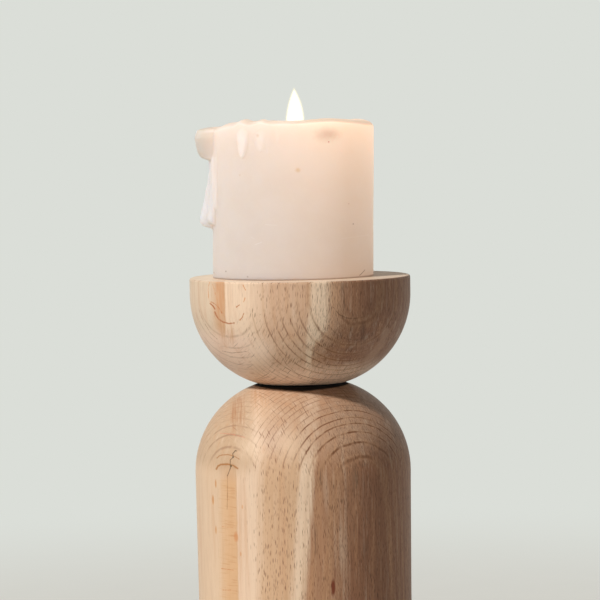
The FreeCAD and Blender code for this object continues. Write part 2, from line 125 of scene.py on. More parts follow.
class Graph:
    """The nodes of a material or a world, with short ways to add and join them."""

    def __init__(self, owner, output="ShaderNodeOutputMaterial"):
        self.owner = owner
        owner.use_nodes = True
        self.tree = owner.node_tree
        self.tree.nodes.clear()
        self.output = self.add(output)

    def put(self, socket, value):
        if isinstance(value, Number):
            value = value.socket
        if isinstance(value, bpy.types.NodeSocket):
            self.tree.links.new(value, socket)
        else:
            socket.default_value = value

    def add(self, kind, inputs=None, **settings):
        node = self.tree.nodes.new(kind)
        for key, value in settings.items():
            setattr(node, key, value)
        for key, value in (inputs or {}).items():
            self.put(node.inputs[key], value)
        return node

    def math(self, operation, *values, clamp=False):
        node = self.add("ShaderNodeMath", dict(enumerate(values)), operation=operation, use_clamp=clamp)
        return Number(self, node.outputs[0])

    def vector(self, operation, *values):
        return self.add("ShaderNodeVectorMath", dict(enumerate(values)), operation=operation).outputs[0]

    def dot(self, vector, direction):
        node = self.add("ShaderNodeVectorMath", {0: vector, 1: direction}, operation="DOT_PRODUCT")
        return Number(self, node.outputs["Value"])

    def times(self, vector, scale):
        return self.add("ShaderNodeVectorMath", {0: vector, "Scale": scale}, operation="SCALE").outputs[0]

    def place_mm(self):
        """Where the shaded point is on its piece, in millimetres."""
        return self.times(self.add("ShaderNodeTexCoord").outputs["Object"], 1 / MM)

    def normal(self):
        return self.add("ShaderNodeTexCoord").outputs["Normal"]

    def split(self, vector):
        return [Number(self, output) for output in self.add("ShaderNodeSeparateXYZ", {0: vector}).outputs]

    def join(self, x, y, z):
        return self.add("ShaderNodeCombineXYZ", {0: x, 1: y, 2: z}).outputs[0]

    def reach(self, a, b):
        """How long a level or upright step is, from its two legs."""
        return self.math("SQRT", a * a + b * b)

    def noise(self, place, size, detail=2.0, roughness=0.5, distortion=0.0):
        """Noise around a half, with features of about that size, one number or one for each axis."""
        sizes = size if isinstance(size, tuple) else (size,) * 3
        inputs = {"Vector": self.vector("DIVIDE", place, sizes), "Scale": 1.0}
        inputs |= {"Detail": detail, "Roughness": roughness, "Distortion": distortion}
        return Number(self, self.add("ShaderNodeTexNoise", inputs).outputs["Fac"])

    def spread(self, value, amount):
        """Noise around a half as a number around zero."""
        return (value - 0.5) * (2 * amount)

    def between(self, value, low, high, to_low=0.0, to_high=1.0):
        """Runs smoothly from one number to the other while the value runs from low to high, or down to it."""
        inputs = {"Value": value, "From Min": low, "From Max": high, "To Min": to_low, "To Max": to_high}
        node = self.add("ShaderNodeMapRange", inputs, interpolation_type="SMOOTHSTEP")
        return Number(self, node.outputs["Result"])

    def mix(self, share, first, second, label=""):
        """Between two colours, each a link, three sRGB numbers or four linear ones."""
        node = self.add("ShaderNodeMix", {"Factor": share}, data_type="RGBA", label=label)
        for key, colour in (("A", first), ("B", second)):
            is_srgb = isinstance(colour, tuple) and len(colour) == 3
            self.put(node.inputs[key], rgba(colour) if is_srgb else colour)
        return next(output for output in node.outputs if output.type == "RGBA")

    def bands(self, value, zones, low, high):
        """A colour that follows a length through zones of (start, end, colour), with blends between them."""
        stops = [(edge, colour) for start, end, colour in zones for edge in (start, end)]
        share = self.math("DIVIDE", value - low, high - low, clamp=True)
        node = self.add("ShaderNodeValToRGB", {"Fac": share})
        ramp = node.color_ramp
        while len(ramp.elements) < len(stops):
            ramp.elements.new(0.5)
        for element, (length, colour) in zip(ramp.elements, stops):
            element.position = (length - low) / (high - low)
            element.color = rgba(colour)
        return node.outputs["Color"]

    def bump(self, height, depth_mm, strength):
        inputs = {"Height": height, "Distance": depth_mm * MM, "Strength": strength}
        return self.add("ShaderNodeBump", inputs).outputs["Normal"]

    def show(self, shader):
        self.tree.links.new(shader.outputs[0], self.output.inputs["Surface"])
        return self.owner

    def surface(self, **inputs):
        """A Principled shader on the output. Names use _ for a space."""
        named = {key.replace("_", " "): value for key, value in inputs.items()}
        return self.show(self.add("ShaderNodeBsdfPrincipled", named))

    def two_shaders(self, share, first, second):
        """Two shaders on the output, the second with that share."""
        inputs = {0: share, 1: first.outputs[0], 2: second.outputs[0]}
        return self.show(self.add("ShaderNodeMixShader", inputs))


def material_graph(name):
    return Graph(bpy.data.materials.new(name))


def blend(share, first, second):
    """Between two numbers."""
    return first + share * (second - first)


def oval_gap(g, across, up, half_width, half_height):
    """How far the shaded point is, seen from the front, from a middle, with 1 at the edge of an oval."""
    return g.reach((g.x - across) / half_width, (g.z - up) / half_height)


def dress(node, material):
    """Puts a material on a CAD node."""
    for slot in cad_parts[node].material_slots:
        slot.material = material


# wood

RIGHT_RING_AZIMUTH_DEG = 32.0
LEFT_RING_AZIMUTH_DEG = -43.0
RING_SPACING = 2.32
RING_LINE_WIDTH = 0.34
ZONE_LOW, ZONE_HIGH = -50.0, 50.0
ORANGE_TAN = (207, 163, 121)
RING_BROWN = (116, 73, 48)
# near black, painted as the shadow in the crevice at the joint
JOINT_SHADOW_COLOUR = (9, 5, 3)
# rays as dashes: distance across, length and reach inwards, and how fat they are
LONG_DASHES = (0.42, 4.4, 30.0, 0.34)
SHORT_DASHES = (0.30, 2.8, 18.0, 0.37)


class WoodLook:
    """What differs between the two turned pieces."""

    def __init__(self, **values):
        self.__dict__.update(values)


BODY_LOOK = WoodLook(
    node="turned_body",
    name="beech_body",
    offset=(0.0, 0.0, 0.0),
    ring_tilt=0.042,
    ring_strength=0.84,
    ring_level=125.0,
    zone_tilt=0.088,
    zone_level=85.0,
    # zones from left to right: start, end and colour
    zones=(
        (-48.0, -36.0, (214, 185, 156)),
        (-32.5, -28.7, (207, 168, 133)),
        (-28.2, -21.0, (222, 194, 168)),
        (-16.5, -5.5, (204, 168, 135)),
        (-3.5, 0.5, (225, 198, 171)),
        (3.0, 14.0, (169, 127, 97)),
        (22.0, 44.0, (143, 100, 74)),
    ),
    # from the first height to the second, the zones fade
    fade=(116.0, 132.0),
    left_fade=(113.0, 122.0),
    faded=(189, 155, 128),
    left_faded=(190, 161, 132),
    fade_share=0.72,
    # the brown side widens between two heights, by so much
    swell=(0.0, 1.0, 0.0),
    # above every point, because the joint hides the body's flat top
    top_level=1000.0,
    # the level of the joint, how far out its painted shadow reaches, and how much less to the sides
    joint=(BODY_TOP, 23.7, 0.14),
    left_edge=-21.0,
    # columns of rays, as across and up
    columns=(
        ((-16.5, 118.0), (-18.0, 58.0)),
        ((-12.0, 112.0), (-13.0, 60.0)),
        ((-8.0, 116.0), (-9.5, 60.0)),
        ((18.0, 116.0), (18.0, 60.0)),
    ),
    # rings near the surface, as distance from the axis
    right_rings=(34.4, 37.1, 39.1, 41.4, 43.7, 46.0),
    left_rings=(40.0, 42.3, 44.6, 46.7, 47.15),
)
BOWL_LOOK = WoodLook(
    node="candle_bowl",
    name="beech_bowl",
    offset=(13.0, 41.0, 300.0),
    ring_tilt=0.0,
    ring_strength=0.54,
    ring_level=0.0,
    zone_tilt=0.055,
    zone_level=190.0,
    zones=(
        (-49.0, -38.5, (214, 191, 166)),
        (-34.5, -32.2, (202, 159, 123)),
        (-31.7, -22.0, (228, 201, 175)),
        (-12.5, 3.0, (206, 171, 143)),
        (4.5, 10.5, (229, 203, 176)),
        (13.5, 15.5, (188, 150, 121)),
        (20.0, 22.0, (157, 115, 87)),
        (28.0, 44.0, (140, 99, 75)),
    ),
    fade=(165.0, 157.0),
    left_fade=(179.0, 172.0),
    faded=(236, 206, 182),
    left_faded=(229, 199, 178),
    fade_share=0.8,
    swell=(181.0, 163.0, 8.0),
    top_level=BOWL_TOP - 0.05,
    joint=(BOWL_FOOT, 20.5, 0.06),
    left_edge=-21.0,
    columns=(
        ((-9.5, 197.0), (-11.5, 184.0), (-10.0, 168.5), (0.0, 155.5)),
        ((-2.0, 197.0), (-2.0, 180.0), (2.5, 169.5)),
        ((2.5, 196.0), (2.0, 176.0)),
        ((7.0, 196.0), (5.5, 170.0)),
        ((12.5, 196.0), (12.0, 174.0)),
    ),
    right_rings=(25.9, 30.2, 33.1, 35.4, 37.7, 40.2, 42.8, 46.7),
    left_rings=(36.2, 39.1, 42.2, 44.8),
)


def towards(azimuth_deg):
    """The level direction at that azimuth right of the front."""
    turn = math.radians(azimuth_deg)
    return (math.sin(turn), -math.cos(turn), 0.0)


class WoodGraph(Graph):
    """A turned piece's wood: the shaded point's place on it and in the grain, and what layers share."""

    def __init__(self, look):
        super().__init__(bpy.data.materials.new(look.name))
        self.look = look
        self.place = self.place_mm()
        self.x, self.y, self.z = self.split(self.place)
        self.flat = self.join(self.x, 0.0, self.z)
        self.grain = self.vector("ADD", self.place, look.offset)
        self.slow = self.spread(self.noise(self.grain, (24.0, 24.0, 85.0)), 0.9)
        self.middle = self.spread(self.noise(self.grain, (6.0, 6.0, 22.0)), 0.5)
        self.fine = self.spread(self.noise(self.grain, (1.2, 1.2, 3.0)), 0.17)
        self.fibre = self.noise(self.grain, (0.26, 0.26, 4.5), detail=3.0, roughness=0.65)
        self.slope = abs(self.split(self.normal())[2])
        self.sloped = self.between(self.slope, 0.06, 0.34)
        self.front = self.between(self.y, -12.0, -8.0, 1.0, 0.0)
        self.zone_place = self.place_in_zones()
        self.brown = self.between(self.zone_place, 3.0, 14.0)
        left_place = self.x + (self.middle + self.slow * 0.5)
        self.left_share = self.between(left_place, look.left_edge - 2.5, look.left_edge + 2.5, 1.0, 0.0)

    def place_in_zones(self):
        """How far across the zones of colour: they run up the grain and lean more on the right."""
        look, x = self.look, self.x
        leaning = (look.zone_level - self.z) * self.between(x, -28.0, 0.0, 0.0, look.zone_tilt)
        streaky = self.spread(self.noise(self.grain, (0.8, 0.8, 22.0), detail=3.0, roughness=0.65), 2.1)
        streaky = streaky * self.between(x, -27.0, -20.0, 0.25, 1.0)
        swell_start, swell_end, swell_width = look.swell
        swollen = self.between(self.z, swell_start, swell_end) * self.between(x, 1.5, 5.5, 0.0, swell_width)
        return x + leaning + (streaky + self.fine * 2.0) + swollen

    def seen(self, pixel):
        """Where a pixel of the photograph falls on this piece, as (across, up)."""
        across, down = pixel
        slope = SENSOR_MM / LENS_MM / FRAME_PIXELS
        aim = Vector(((across - FRAME_PIXELS / 2) * slope, (FRAME_PIXELS / 2 - down) * slope, -1.0))
        eye = camera_place()
        sight = (eye.to_3x3() @ aim).normalized()
        found, point, *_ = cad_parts[self.look.node].ray_cast(eye.translation, sight)
        if not found:
            raise ValueError(f"the pixel {pixel} isn't on {self.look.node}")
        return point.x / MM, point.z / MM

    def gap_to_line(self, points):
        """How far the shaded point is, seen from the front, from a line through points of (across, up)."""
        nearest = None
        for (x0, z0), (x1, z1) in zip(points, points[1:]):
            length = math.hypot(x1 - x0, z1 - z0)
            way = ((x1 - x0) / length, 0.0, (z1 - z0) / length)
            step = self.vector("SUBTRACT", self.flat, (x0, 0.0, z0))
            limits = {"Value": self.dot(step, way), "Min": 0.0, "Max": length}
            along = self.add("ShaderNodeClamp", limits).outputs[0]
            aside = self.vector("ADD", step, self.times(tuple(-w for w in way), along))
            node = self.add("ShaderNodeVectorMath", {0: aside}, operation="LENGTH")
            gap = Number(self, node.outputs["Value"])
            nearest = gap if nearest is None else self.math("MINIMUM", nearest, gap)
        return nearest


def zones_of_colour(g):
    """The zones, and how they fade past a height."""
    look = g.look
    colour = g.bands(g.zone_place, look.zones, ZONE_LOW, ZONE_HIGH)
    cloudy = g.z + g.slow * 2.0
    faded = g.between(cloudy, *look.fade) * g.between(g.x, -21.0, -13.0)
    faded = faded * g.between(g.x, 20.0, 40.0, 1.0, 0.5)
    colour = g.mix(faded * look.fade_share, colour, look.faded)
    faded = g.between(cloudy, *look.left_fade) * g.between(g.x, -24.0, -18.0, 1.0, 0.0)
    return g.mix(faded * 0.85, colour, look.left_faded)


def grain_streaks(g, colour):
    """Broad and thin streaks along the grain, and pores."""
    broad = g.noise(g.grain, (3.0, 3.0, 60.0), detail=3.0)
    thin = g.noise(g.grain, (0.5, 0.5, 14.0), detail=3.0, roughness=0.65)
    colour = g.mix(g.between(broad, 0.50, 0.78, 0.0, 0.40), colour, (196, 146, 108))
    colour = g.mix(g.between(broad, 0.22, 0.46, 0.38, 0.0), colour, (224, 200, 176))
    dark = g.between(thin, 0.50, 0.74, 0.0, 0.55) * blend(g.brown, 0.35, 1.0)
    colour = g.mix(dark, colour, g.mix(g.brown, (140, 96, 70), (112, 72, 52)))
    light = g.between(thin, 0.26, 0.45, 0.42, 0.0) * blend(g.brown, 0.4, 0.7)
    colour = g.mix(light, colour, (222, 196, 170))
    pores = g.between(g.fibre, 0.54, 0.70, 0.0, 0.55) * blend(g.brown, 0.22, 1.0)
    return g.mix(pores, colour, g.mix(g.brown, (128, 86, 60), (88, 54, 38)))


def ring_lines(g, depth, rings):
    """A thin dark line and a soft shade at each ring: the rings seen near the surface, even ones inside."""
    even = g.math("PINGPONG", (depth - rings[0]) / RING_SPACING, 0.5) * RING_SPACING
    inside = g.math("LESS_THAN", depth, rings[0] - RING_SPACING / 2)
    nearest = even + (1.0 - inside) * RING_SPACING
    for ring in rings:
        nearest = g.math("MINIMUM", nearest, abs(depth - ring))
    strength = 1.0 - inside * 0.45
    line = g.between(nearest, 0.04, RING_LINE_WIDTH, 1.0, 0.0) * strength
    return line, g.between(nearest, 0.2, 0.9, 1.0, 0.0) * strength


def growth_rings(g):
    """Ring lines in two directions, strong where the surface slopes, and the shade beside them."""
    look = g.look
    warp = g.slow + g.middle + g.fine
    right_depth = g.dot(g.place, towards(RIGHT_RING_AZIMUTH_DEG)) + warp * 0.45
    right_depth = right_depth + (look.ring_level - g.z) * look.ring_tilt
    left_depth = g.dot(g.place, towards(LEFT_RING_AZIMUTH_DEG)) + (g.middle + g.fine) * 0.35
    right_line, right_near = ring_lines(g, right_depth, look.right_rings)
    left_line, left_near = ring_lines(g, left_depth, look.left_rings)
    fade = g.between(g.noise(g.grain, (4.0, 4.0, 9.0)), 0.34, 0.60, 0.25, 1.0)
    line = blend(g.left_share, right_line, left_line * 0.45) * fade * (g.sloped * look.ring_strength + 0.10)
    return line, blend(g.left_share, right_near, left_near * 0.3)


def flecks(g, across, inward, up, size):
    """Dashes that are thin across, longer upwards and run far inwards, and a number for each."""
    spacing, length, reach, radius = size
    place = g.join(across / spacing, inward / reach, up / length)
    cells = g.add("ShaderNodeTexVoronoi", {"Vector": place, "Scale": 1.0, "Randomness": 1.0}, feature="F1")
    pick = g.split(cells.outputs["Color"])[0]
    return g.between(cells.outputs["Distance"], radius * 0.35, radius, 1.0, 0.0), pick


def rays(g, near):
    """Long and short dashes of ray, crowded beside the rings and in loose columns on the front."""
    across = g.dot(g.grain, towards(RIGHT_RING_AZIMUTH_DEG + 90.0))
    inward = g.dot(g.grain, towards(RIGHT_RING_AZIMUTH_DEG))
    up = g.split(g.grain)[2] + across * 0.25
    long_dashes, long_pick = flecks(g, across, inward, up, LONG_DASHES)
    short_dashes, short_pick = flecks(g, across, inward, up, SHORT_DASHES)
    crowding = g.between(g.noise(g.grain, (5.0, 5.0, 26.0)), 0.34, 0.62)
    darker = g.between(g.zone_place, -19.0, -15.0, 0.10, 0.55) + g.brown * 0.35
    pale_zone = g.between(g.zone_place, -4.0, -2.0) * g.between(g.zone_place, 0.5, 2.5, 1.0, 0.0)
    wanted = crowding * 0.30 + darker * 0.46 + near * 0.30 + g.sloped * 0.22 - pale_zone * 0.20
    for column in g.look.columns:
        wanted = wanted + g.between(g.gap_to_line(column), 0.25, 1.3, 0.85, 0.0) * g.front
    sideways = abs(g.dot(g.normal(), towards(RIGHT_RING_AZIMUTH_DEG + 90.0)))
    strength = blend(g.left_share, 1.0, 0.55) * g.between(sideways, 0.80, 0.97, 1.0, 0.0)
    kept = g.math("LESS_THAN", long_pick, wanted)
    long_dashes = long_dashes * kept * g.between(long_pick, 0.0, 0.8, 0.92, 0.50) * strength
    kept = g.math("LESS_THAN", short_pick, wanted * 1.1)
    short_dashes = short_dashes * kept * blend(g.brown, 0.48, 0.68) * strength
    return long_dashes, short_dashes


def painted_joint_shadow(g):
    """Painted shadow at the joint: the crevice's shade painted near black, narrower to the sides where the
    key light reaches further in.
    """
    level, widest, narrowing = g.look.joint
    edge = widest - abs(g.x) * narrowing
    near_level = g.between(abs(g.z - level), 1.6, 2.8, 1.0, 0.0)
    return near_level * g.between(g.reach(g.x, g.y) - edge, -1.0, 0.6, 0.97, 0.0)


def beech(look, marks):
    """Oiled beech: zones of colour, streaks, growth rings in two directions, rays as dashes and marks, with a
    painted reflection on the flat top and a painted shadow at the joint.
    """
    g = WoodGraph(look)
    colour = grain_streaks(g, zones_of_colour(g))
    line, near = growth_rings(g)
    colour = g.mix(near * 0.14, colour, ORANGE_TAN)
    colour = g.mix(line, colour, RING_BROWN)
    long_dashes, short_dashes = rays(g, near)
    colour = g.mix(short_dashes, colour, g.mix(g.brown, (134, 88, 60), (86, 52, 34)))
    colour = g.mix(long_dashes, colour, g.mix(g.brown, (108, 66, 42), (70, 40, 26)))
    for name, tint, kind, *row in marks:
        colour = g.mix(kind(g, *row) * g.front, colour, tint, label=name)
    # painted reflection: the flat top is lightened to stand for the pale surroundings that it mirrors at a
    # low view
    top_reflection = g.between(g.z, look.top_level - 0.2, look.top_level) * g.between(g.slope, 0.80, 0.98)
    colour = g.mix(top_reflection * 0.6, colour, (240, 220, 196))
    # painted shadow: the joint's crevice painted near black, and rougher there
    joint_shadow = painted_joint_shadow(g)
    colour = g.mix(joint_shadow, colour, JOINT_SHADOW_COLOUR)
    turning = g.noise(g.grain, (40.0, 40.0, 0.55), detail=1.0)
    height = g.fibre * 0.45 - long_dashes * 0.6 - line * 0.3 + turning * 0.2
    roughness = g.spread(g.fibre, 0.10) + (long_dashes * 0.15 + 0.48)
    return g.surface(
        Base_Color=colour,
        Roughness=g.math("ADD", roughness, joint_shadow * 0.5, clamp=True),
        Specular_IOR_Level=0.28,
        IOR=1.47,
        Normal=g.bump(height, 0.09, 0.7),
    )


# marks on the front of the wood: each kind says how strongly it covers the shaded point

def stroke(g, pixels, half_width, strength, broken=0.0):
    """A thin line through pixels of the photograph. Broken ones come in dashes."""
    gap = g.gap_to_line([g.seen(pixel) for pixel in pixels]) - g.fine * 1.4
    cover = g.between(gap, half_width * 0.4, half_width * 1.3, strength, 0.0)
    if broken:
        dashes = g.noise(g.join(g.x, 7.0, g.z), 1.5, detail=1.0)
        cover = cover * g.between(dashes, 0.5 - 0.08 / broken, 0.56, 1.0 - broken, 1.0)
    return cover


def spot(g, pixel, half_width, half_height, strength, start=0.45, end=1.1, rough=1.5):
    """A small mark round a pixel of the photograph."""
    gap = oval_gap(g, *g.seen(pixel), half_width, half_height)
    return g.between(gap + g.fine * rough, start, end, strength, 0.0)


def patch(g, pixel, half_width, half_height, strength):
    """A soft area round a pixel of the photograph."""
    return spot(g, pixel, half_width, half_height, strength, start=0.0, end=1.2, rough=0.0)


def orange_zone(g, strength):
    """The orange zone below the arches."""
    edge = g.x + g.fine * 4.0
    zone = g.between(edge, -38.0, -33.0) * g.between(edge, -29.3, -28.5, 1.0, 0.0)
    return zone * g.between(g.z, 111.0, 114.5, 1.0, 0.0) * strength


def ripples(g, strength):
    """Faint level ripples in the orange zone."""
    wave = g.noise(g.join(g.x / 7.0, 0.0, g.z), (1.0, 1.0, 0.8))
    return orange_zone(g, 1.0) * g.between(wave, 0.50, 0.72, 0.0, strength)


def streaks(g, left, right, foot, top, strength):
    """An area of upright streaks, soft all round."""
    grain = g.noise(g.join(g.x, 3.0, g.z), (0.7, 1.0, 9.0), detail=3.0, roughness=0.6)
    inside = g.between(g.x, left - 1.0, left + 1.0) * g.between(g.x, right - 1.0, right + 1.0, 1.0, 0.0)
    inside = inside * g.between(g.z, foot - 4.0, foot + 4.0) * g.between(g.z, top - 3.0, top + 3.0, 1.0, 0.0)
    return inside * g.between(grain, 0.42, 0.66, 0.1, strength)


ARCH = (160, 106, 56)
CRACK = (92, 76, 52)
ORANGE = (192, 128, 66)
TICK = (192, 126, 78)
# each mark's name, colour, kind, place in pixels or streaks' edges in millimetres, half sizes and strength
BODY_MARKS = (
    ("orange zone", (214, 172, 128), orange_zone, 0.45),
    ("orange ripples", (190, 138, 92), ripples, 0.6),
    ("dome left", (166, 112, 72), streaks, -30.5, -25.0, 134.0, 149.0, 0.85),
    ("dome middle", (186, 138, 98), streaks, -22.0, -14.0, 141.0, 150.0, 0.7),
    ("dome", (232, 204, 176), patch, (266, 410), 6.0, 7.5, 0.30),
    ("shoulder", (230, 202, 172), patch, (252, 449), 8.0, 7.0, 0.42),
    ("middle shoulder", (226, 196, 166), patch, (290, 446), 7.0, 9.0, 0.55),
    ("right shoulder", (96, 66, 50), patch, (380, 450), 6.0, 9.0, 0.30),
    ("upper arch", ARCH, stroke,
     ((217, 458), (219, 456), (222, 455), (228, 454.6), (234, 456), (239, 459)), 0.24, 0.75),
    ("lower arch", ARCH, stroke,
     ((216.4, 469), (218, 466), (221, 464.4), (228, 464.2), (233, 465.3), (237.6, 468.5)), 0.42, 0.85),
    ("red line", (206, 128, 104), stroke, ((220, 433), (232, 434.2), (244.7, 437.4)), 0.15, 0.55),
    ("crack", CRACK, stroke,
     ((235.5, 450.6), (232.6, 454), (233.6, 457), (230.2, 460), (230.6, 467.5), (227.5, 476)), 0.17, 0.8),
    ("end of the crack", (156, 112, 70), stroke, ((227.5, 476), (227.6, 490), (227, 510)), 0.16, 0.65, 0.4),
    ("upper knot", (84, 76, 60), spot, (233, 457), 0.45, 0.55, 0.9),
    ("lower knot", (96, 78, 52), spot, (231, 466), 0.5, 0.6, 0.9),
    ("start of the crack", (118, 96, 70), spot, (235.8, 450.8), 0.8, 0.35, 0.8),
    ("first dash", ORANGE, spot, (215.8, 484), 0.40, 2.2, 0.75),
    ("second dash", ORANGE, spot, (213, 500), 0.50, 2.4, 0.75),
    ("third dash", ORANGE, spot, (216, 530), 0.40, 2.2, 0.65),
    ("orange patch", (200, 134, 84), spot, (236, 537), 1.1, 2.6, 0.65),
    ("upper speck", (206, 146, 100), spot, (242.3, 507), 0.4, 1.1, 0.6),
    ("lower speck", (200, 140, 92), spot, (240.6, 554), 0.5, 1.3, 0.6),
    ("upper tick", (198, 136, 92), stroke, ((222, 526.6), (233, 527.6)), 0.16, 0.7, 0.5),
    ("middle tick", TICK, stroke, ((221.5, 568.5), (233, 570)), 0.18, 0.75),
    ("lower tick", TICK, stroke, ((223, 590), (231, 590)), 0.18, 0.75),
    ("red knot", (108, 42, 20), spot, (333.4, 588), 1.15, 4.4, 0.9),
    ("above the knot", (124, 74, 50), spot, (335.5, 574), 0.6, 4.0, 0.5),
    ("left of the brown", (92, 70, 56), streaks, 6.0, 8.0, 111.0, 120.0, 0.75),
    ("edge of the strip", (92, 60, 42), streaks, 4.0, 5.5, 82.0, 94.0, 0.75),
    ("upper brown", (110, 88, 70), streaks, 21.0, 23.0, 108.0, 119.0, 0.75),
    ("middle brown", (92, 62, 46), streaks, 21.0, 22.5, 84.0, 98.0, 0.7),
    ("lower brown", (92, 66, 50), streaks, 25.0, 27.0, 76.0, 86.0, 0.6),
)

BOW_LINE = (184, 112, 62)
BOW_BROWN = (170, 96, 48)
BOW_PALE = (206, 140, 90)
BOWL_MARKS = (
    ("low left", (240, 214, 192), patch, (262, 352), 7.0, 9.0, 0.55),
    ("low right", (164, 128, 106), patch, (368, 352), 7.0, 9.0, 0.35),
    ("pale streak", (176, 142, 118), stroke, ((386, 331), (381, 345), (366, 362)), 1.7, 0.42),
    ("outer left", BOW_PALE, stroke, ((209.5, 282), (208, 290), (208.6, 298), (211, 304)), 0.2, 0.6, 0.6),
    ("inner left", BOW_PALE, stroke, ((212.5, 284), (215, 292), (217, 300)), 0.2, 0.55, 0.7),
    ("start of the bow", BOW_BROWN, stroke, ((210, 303.5), (213, 306), (214.8, 309)), 0.30, 0.9),
    ("bow", BOW_BROWN, stroke,
     ((214.8, 312), (216, 315), (218.5, 319), (223, 322), (229, 323.6), (234, 323)), 0.38, 0.8, 0.35),
    ("inner bow", BOW_LINE, stroke,
     ((211.5, 302), (215.5, 304.5), (218.6, 307.5), (222, 313)), 0.2, 0.75, 0.6),
    ("end of the bow", BOW_LINE, stroke, ((240, 320), (242.2, 317.5), (243.8, 313.5)), 0.24, 0.8),
    ("first tick", BOW_LINE, stroke, ((236.6, 307), (239.2, 305)), 0.28, 0.8),
    ("second tick", BOW_PALE, stroke, ((243.5, 302), (245, 298)), 0.22, 0.8),
    ("third tick", BOW_PALE, stroke, ((243, 285), (245.4, 290)), 0.24, 0.8),
    ("low left line", (150, 104, 74), stroke, ((205, 324), (210.5, 333), (217, 339)), 0.14, 0.6),
    ("high left line", (150, 108, 80), stroke, ((198.5, 308), (201, 316), (205, 324)), 0.11, 0.5, 0.6),
    ("level line", (140, 96, 68), stroke, ((222.5, 351), (232, 353), (246.4, 351.5)), 0.14, 0.65),
    ("below the bow", (190, 142, 100), streaks, -34.0, -28.5, 171.0, 178.0, 0.7),
    ("dark streak", (92, 62, 46), streaks, 25.5, 27.5, 169.0, 179.0, 0.85),
    ("upper dark streak", (86, 58, 42), streaks, 17.5, 19.5, 186.0, 198.0, 0.7),
    ("left ring", (150, 104, 74), stroke, ((274, 328), (277, 350), (287, 365), (302, 378)), 0.2, 0.5, 0.5),
    ("middle ring", (150, 108, 76), stroke, ((296.5, 323), (299.5, 339), (307, 348)), 0.2, 0.5, 0.6),
    ("upper brown ring", (84, 54, 38), stroke,
     ((333, 307), (339, 314.5), (346.5, 318), (356, 318.5), (366, 316)), 0.25, 0.5, 0.8),
    ("lower brown ring", (92, 60, 42), stroke,
     ((328.5, 325.5), (337, 335), (346.5, 339), (356, 340), (367, 337)), 0.25, 0.45, 0.8),
    ("orange band", (202, 138, 90), streaks, -36.0, -32.5, 184.0, 198.0, 0.6),
    ("tan band", (168, 120, 80), streaks, 2.5, 4.5, 187.0, 198.0, 0.6),
)


def dress_wood():
    for look, marks in ((BODY_LOOK, BODY_MARKS), (BOWL_LOOK, BOWL_MARKS)):
        dress(look.node, beech(look, marks))


# metal and rubber

def turned_metal(name, tint, roughness, ring_size):
    """Metal with the fine rings that a lathe leaves round its axis."""
    g = material_graph(name)
    place = g.place_mm()
    x, y, z = g.split(place)
    rings = g.noise(g.join(g.reach(x, y), 0.0, z), ring_size, detail=3.0, roughness=0.6)
    stain = g.noise(place, 2.6, detail=3.0)
    darker = tuple(c * 0.78 for c in tint)
    return g.surface(
        Base_Color=g.mix(g.between(stain, 0.35, 0.75, 0.0, 0.6), tint, darker),
        Metallic=1.0,
        Roughness=g.spread(rings, 0.10) + (stain * 0.14 + roughness),
        Anisotropic=0.35,
        Normal=g.bump(rings, 0.012, 0.5),
    )


def black_rubber():
    g = material_graph("black_washer")
    place = g.place_mm()
    grit = g.noise(place, 0.35, detail=3.0)
    dust = g.noise(place, 4.0)
    return g.surface(
        Base_Color=g.mix(g.between(dust, 0.45, 0.8, 0.0, 0.4), (20, 17, 15), (44, 38, 33)),
        Roughness=g.spread(grit, 0.08) + 0.72,
        Specular_IOR_Level=0.3,
        Normal=g.bump(grit, 0.03, 0.6),
    )


def dress_metal():
    dress("pricket_spike", turned_metal("turned_steel", (196, 197, 199), 0.24, 0.16))
    dress("joining_stud", turned_metal("stud_steel", (182, 181, 178), 0.33, 0.25))
    brass = turned_metal("insert_brass", (214, 178, 110), 0.30, 0.22)
    for node in ("body_nut", "bowl_nut", "spike_nut"):
        dress(node, brass)
    dress("joint_washer", black_rubber())


# meshes in code

def new_piece(name, points, faces, material, smooth=True):
    mesh = bpy.data.meshes.new(name)
    mesh.from_pydata([tuple(p) for p in points], [], faces)
    mesh.update()
    for polygon in mesh.polygons:
        polygon.use_smooth = smooth
    piece = bpy.data.objects.new(name, mesh)
    bpy.context.scene.collection.objects.link(piece)
    mesh.materials.append(material)
    return piece


def skin(rings, close_start=True, close_end=True):
    """Points and faces of a skin through rings of equal counts, each an array of points."""
    count = len(rings[0])
    last = (len(rings) - 1) * count
    points = [tuple(p) for ring in rings for p in ring]
    pairs = [(i, (i + 1) % count) for i in range(count)]
    faces = []
    for low in range(0, last, count):
        faces += [(low + i, low + j, low + count + j, low + count + i) for i, j in pairs]
    if close_start:
        points.append(tuple(np.mean(rings[0], axis=0)))
        faces += [(j, i, len(points) - 1) for i, j in pairs]
    if close_end:
        points.append(tuple(np.mean(rings[-1], axis=0)))
        faces += [(last + i, last + j, len(points) - 1) for i, j in pairs]
    return points, faces


def turns(count):
    """Even turns round an axis."""
    return np.linspace(0, FULL_TURN, count, endpoint=False)


def steps(count, end=1.0):
    """Even steps up to the end, without the start."""
    return np.linspace(0, end, count)[1:]


def part_way(first, second, share):
    return first * (1 - share) + second * share


def flat_ring(turn, radius, height, across=0.0):
    """A level ring of points. It starts on the right, or on the left when its radius is minus."""
    height = np.broadcast_to(height, turn.shape)
    return np.stack([across + radius * np.cos(turn), radius * np.sin(turn), height], axis=1)


# the pillar candle, in millimetres from its own foot and axis until it is placed

WAX = (192, 187, 185)
FRESH_WAX = (204, 203, 206)
OLD_WAX = (182, 178, 174)
SMUDGE = (196, 160, 128)
SPECK = (120, 84, 60)
CANDLE_RADIUS = 35.0
CANDLE_AXIS = Vector((WAX_HIGH.x / MM - CANDLE_RADIUS, 0.0, SEAT / MM))
RIM = (WAX_HIGH.z - SEAT) / MM
POOL = RIM - 8.5
WELL_FLOOR = POOL - 0.25
CANDLE_LEAN = 0.0175
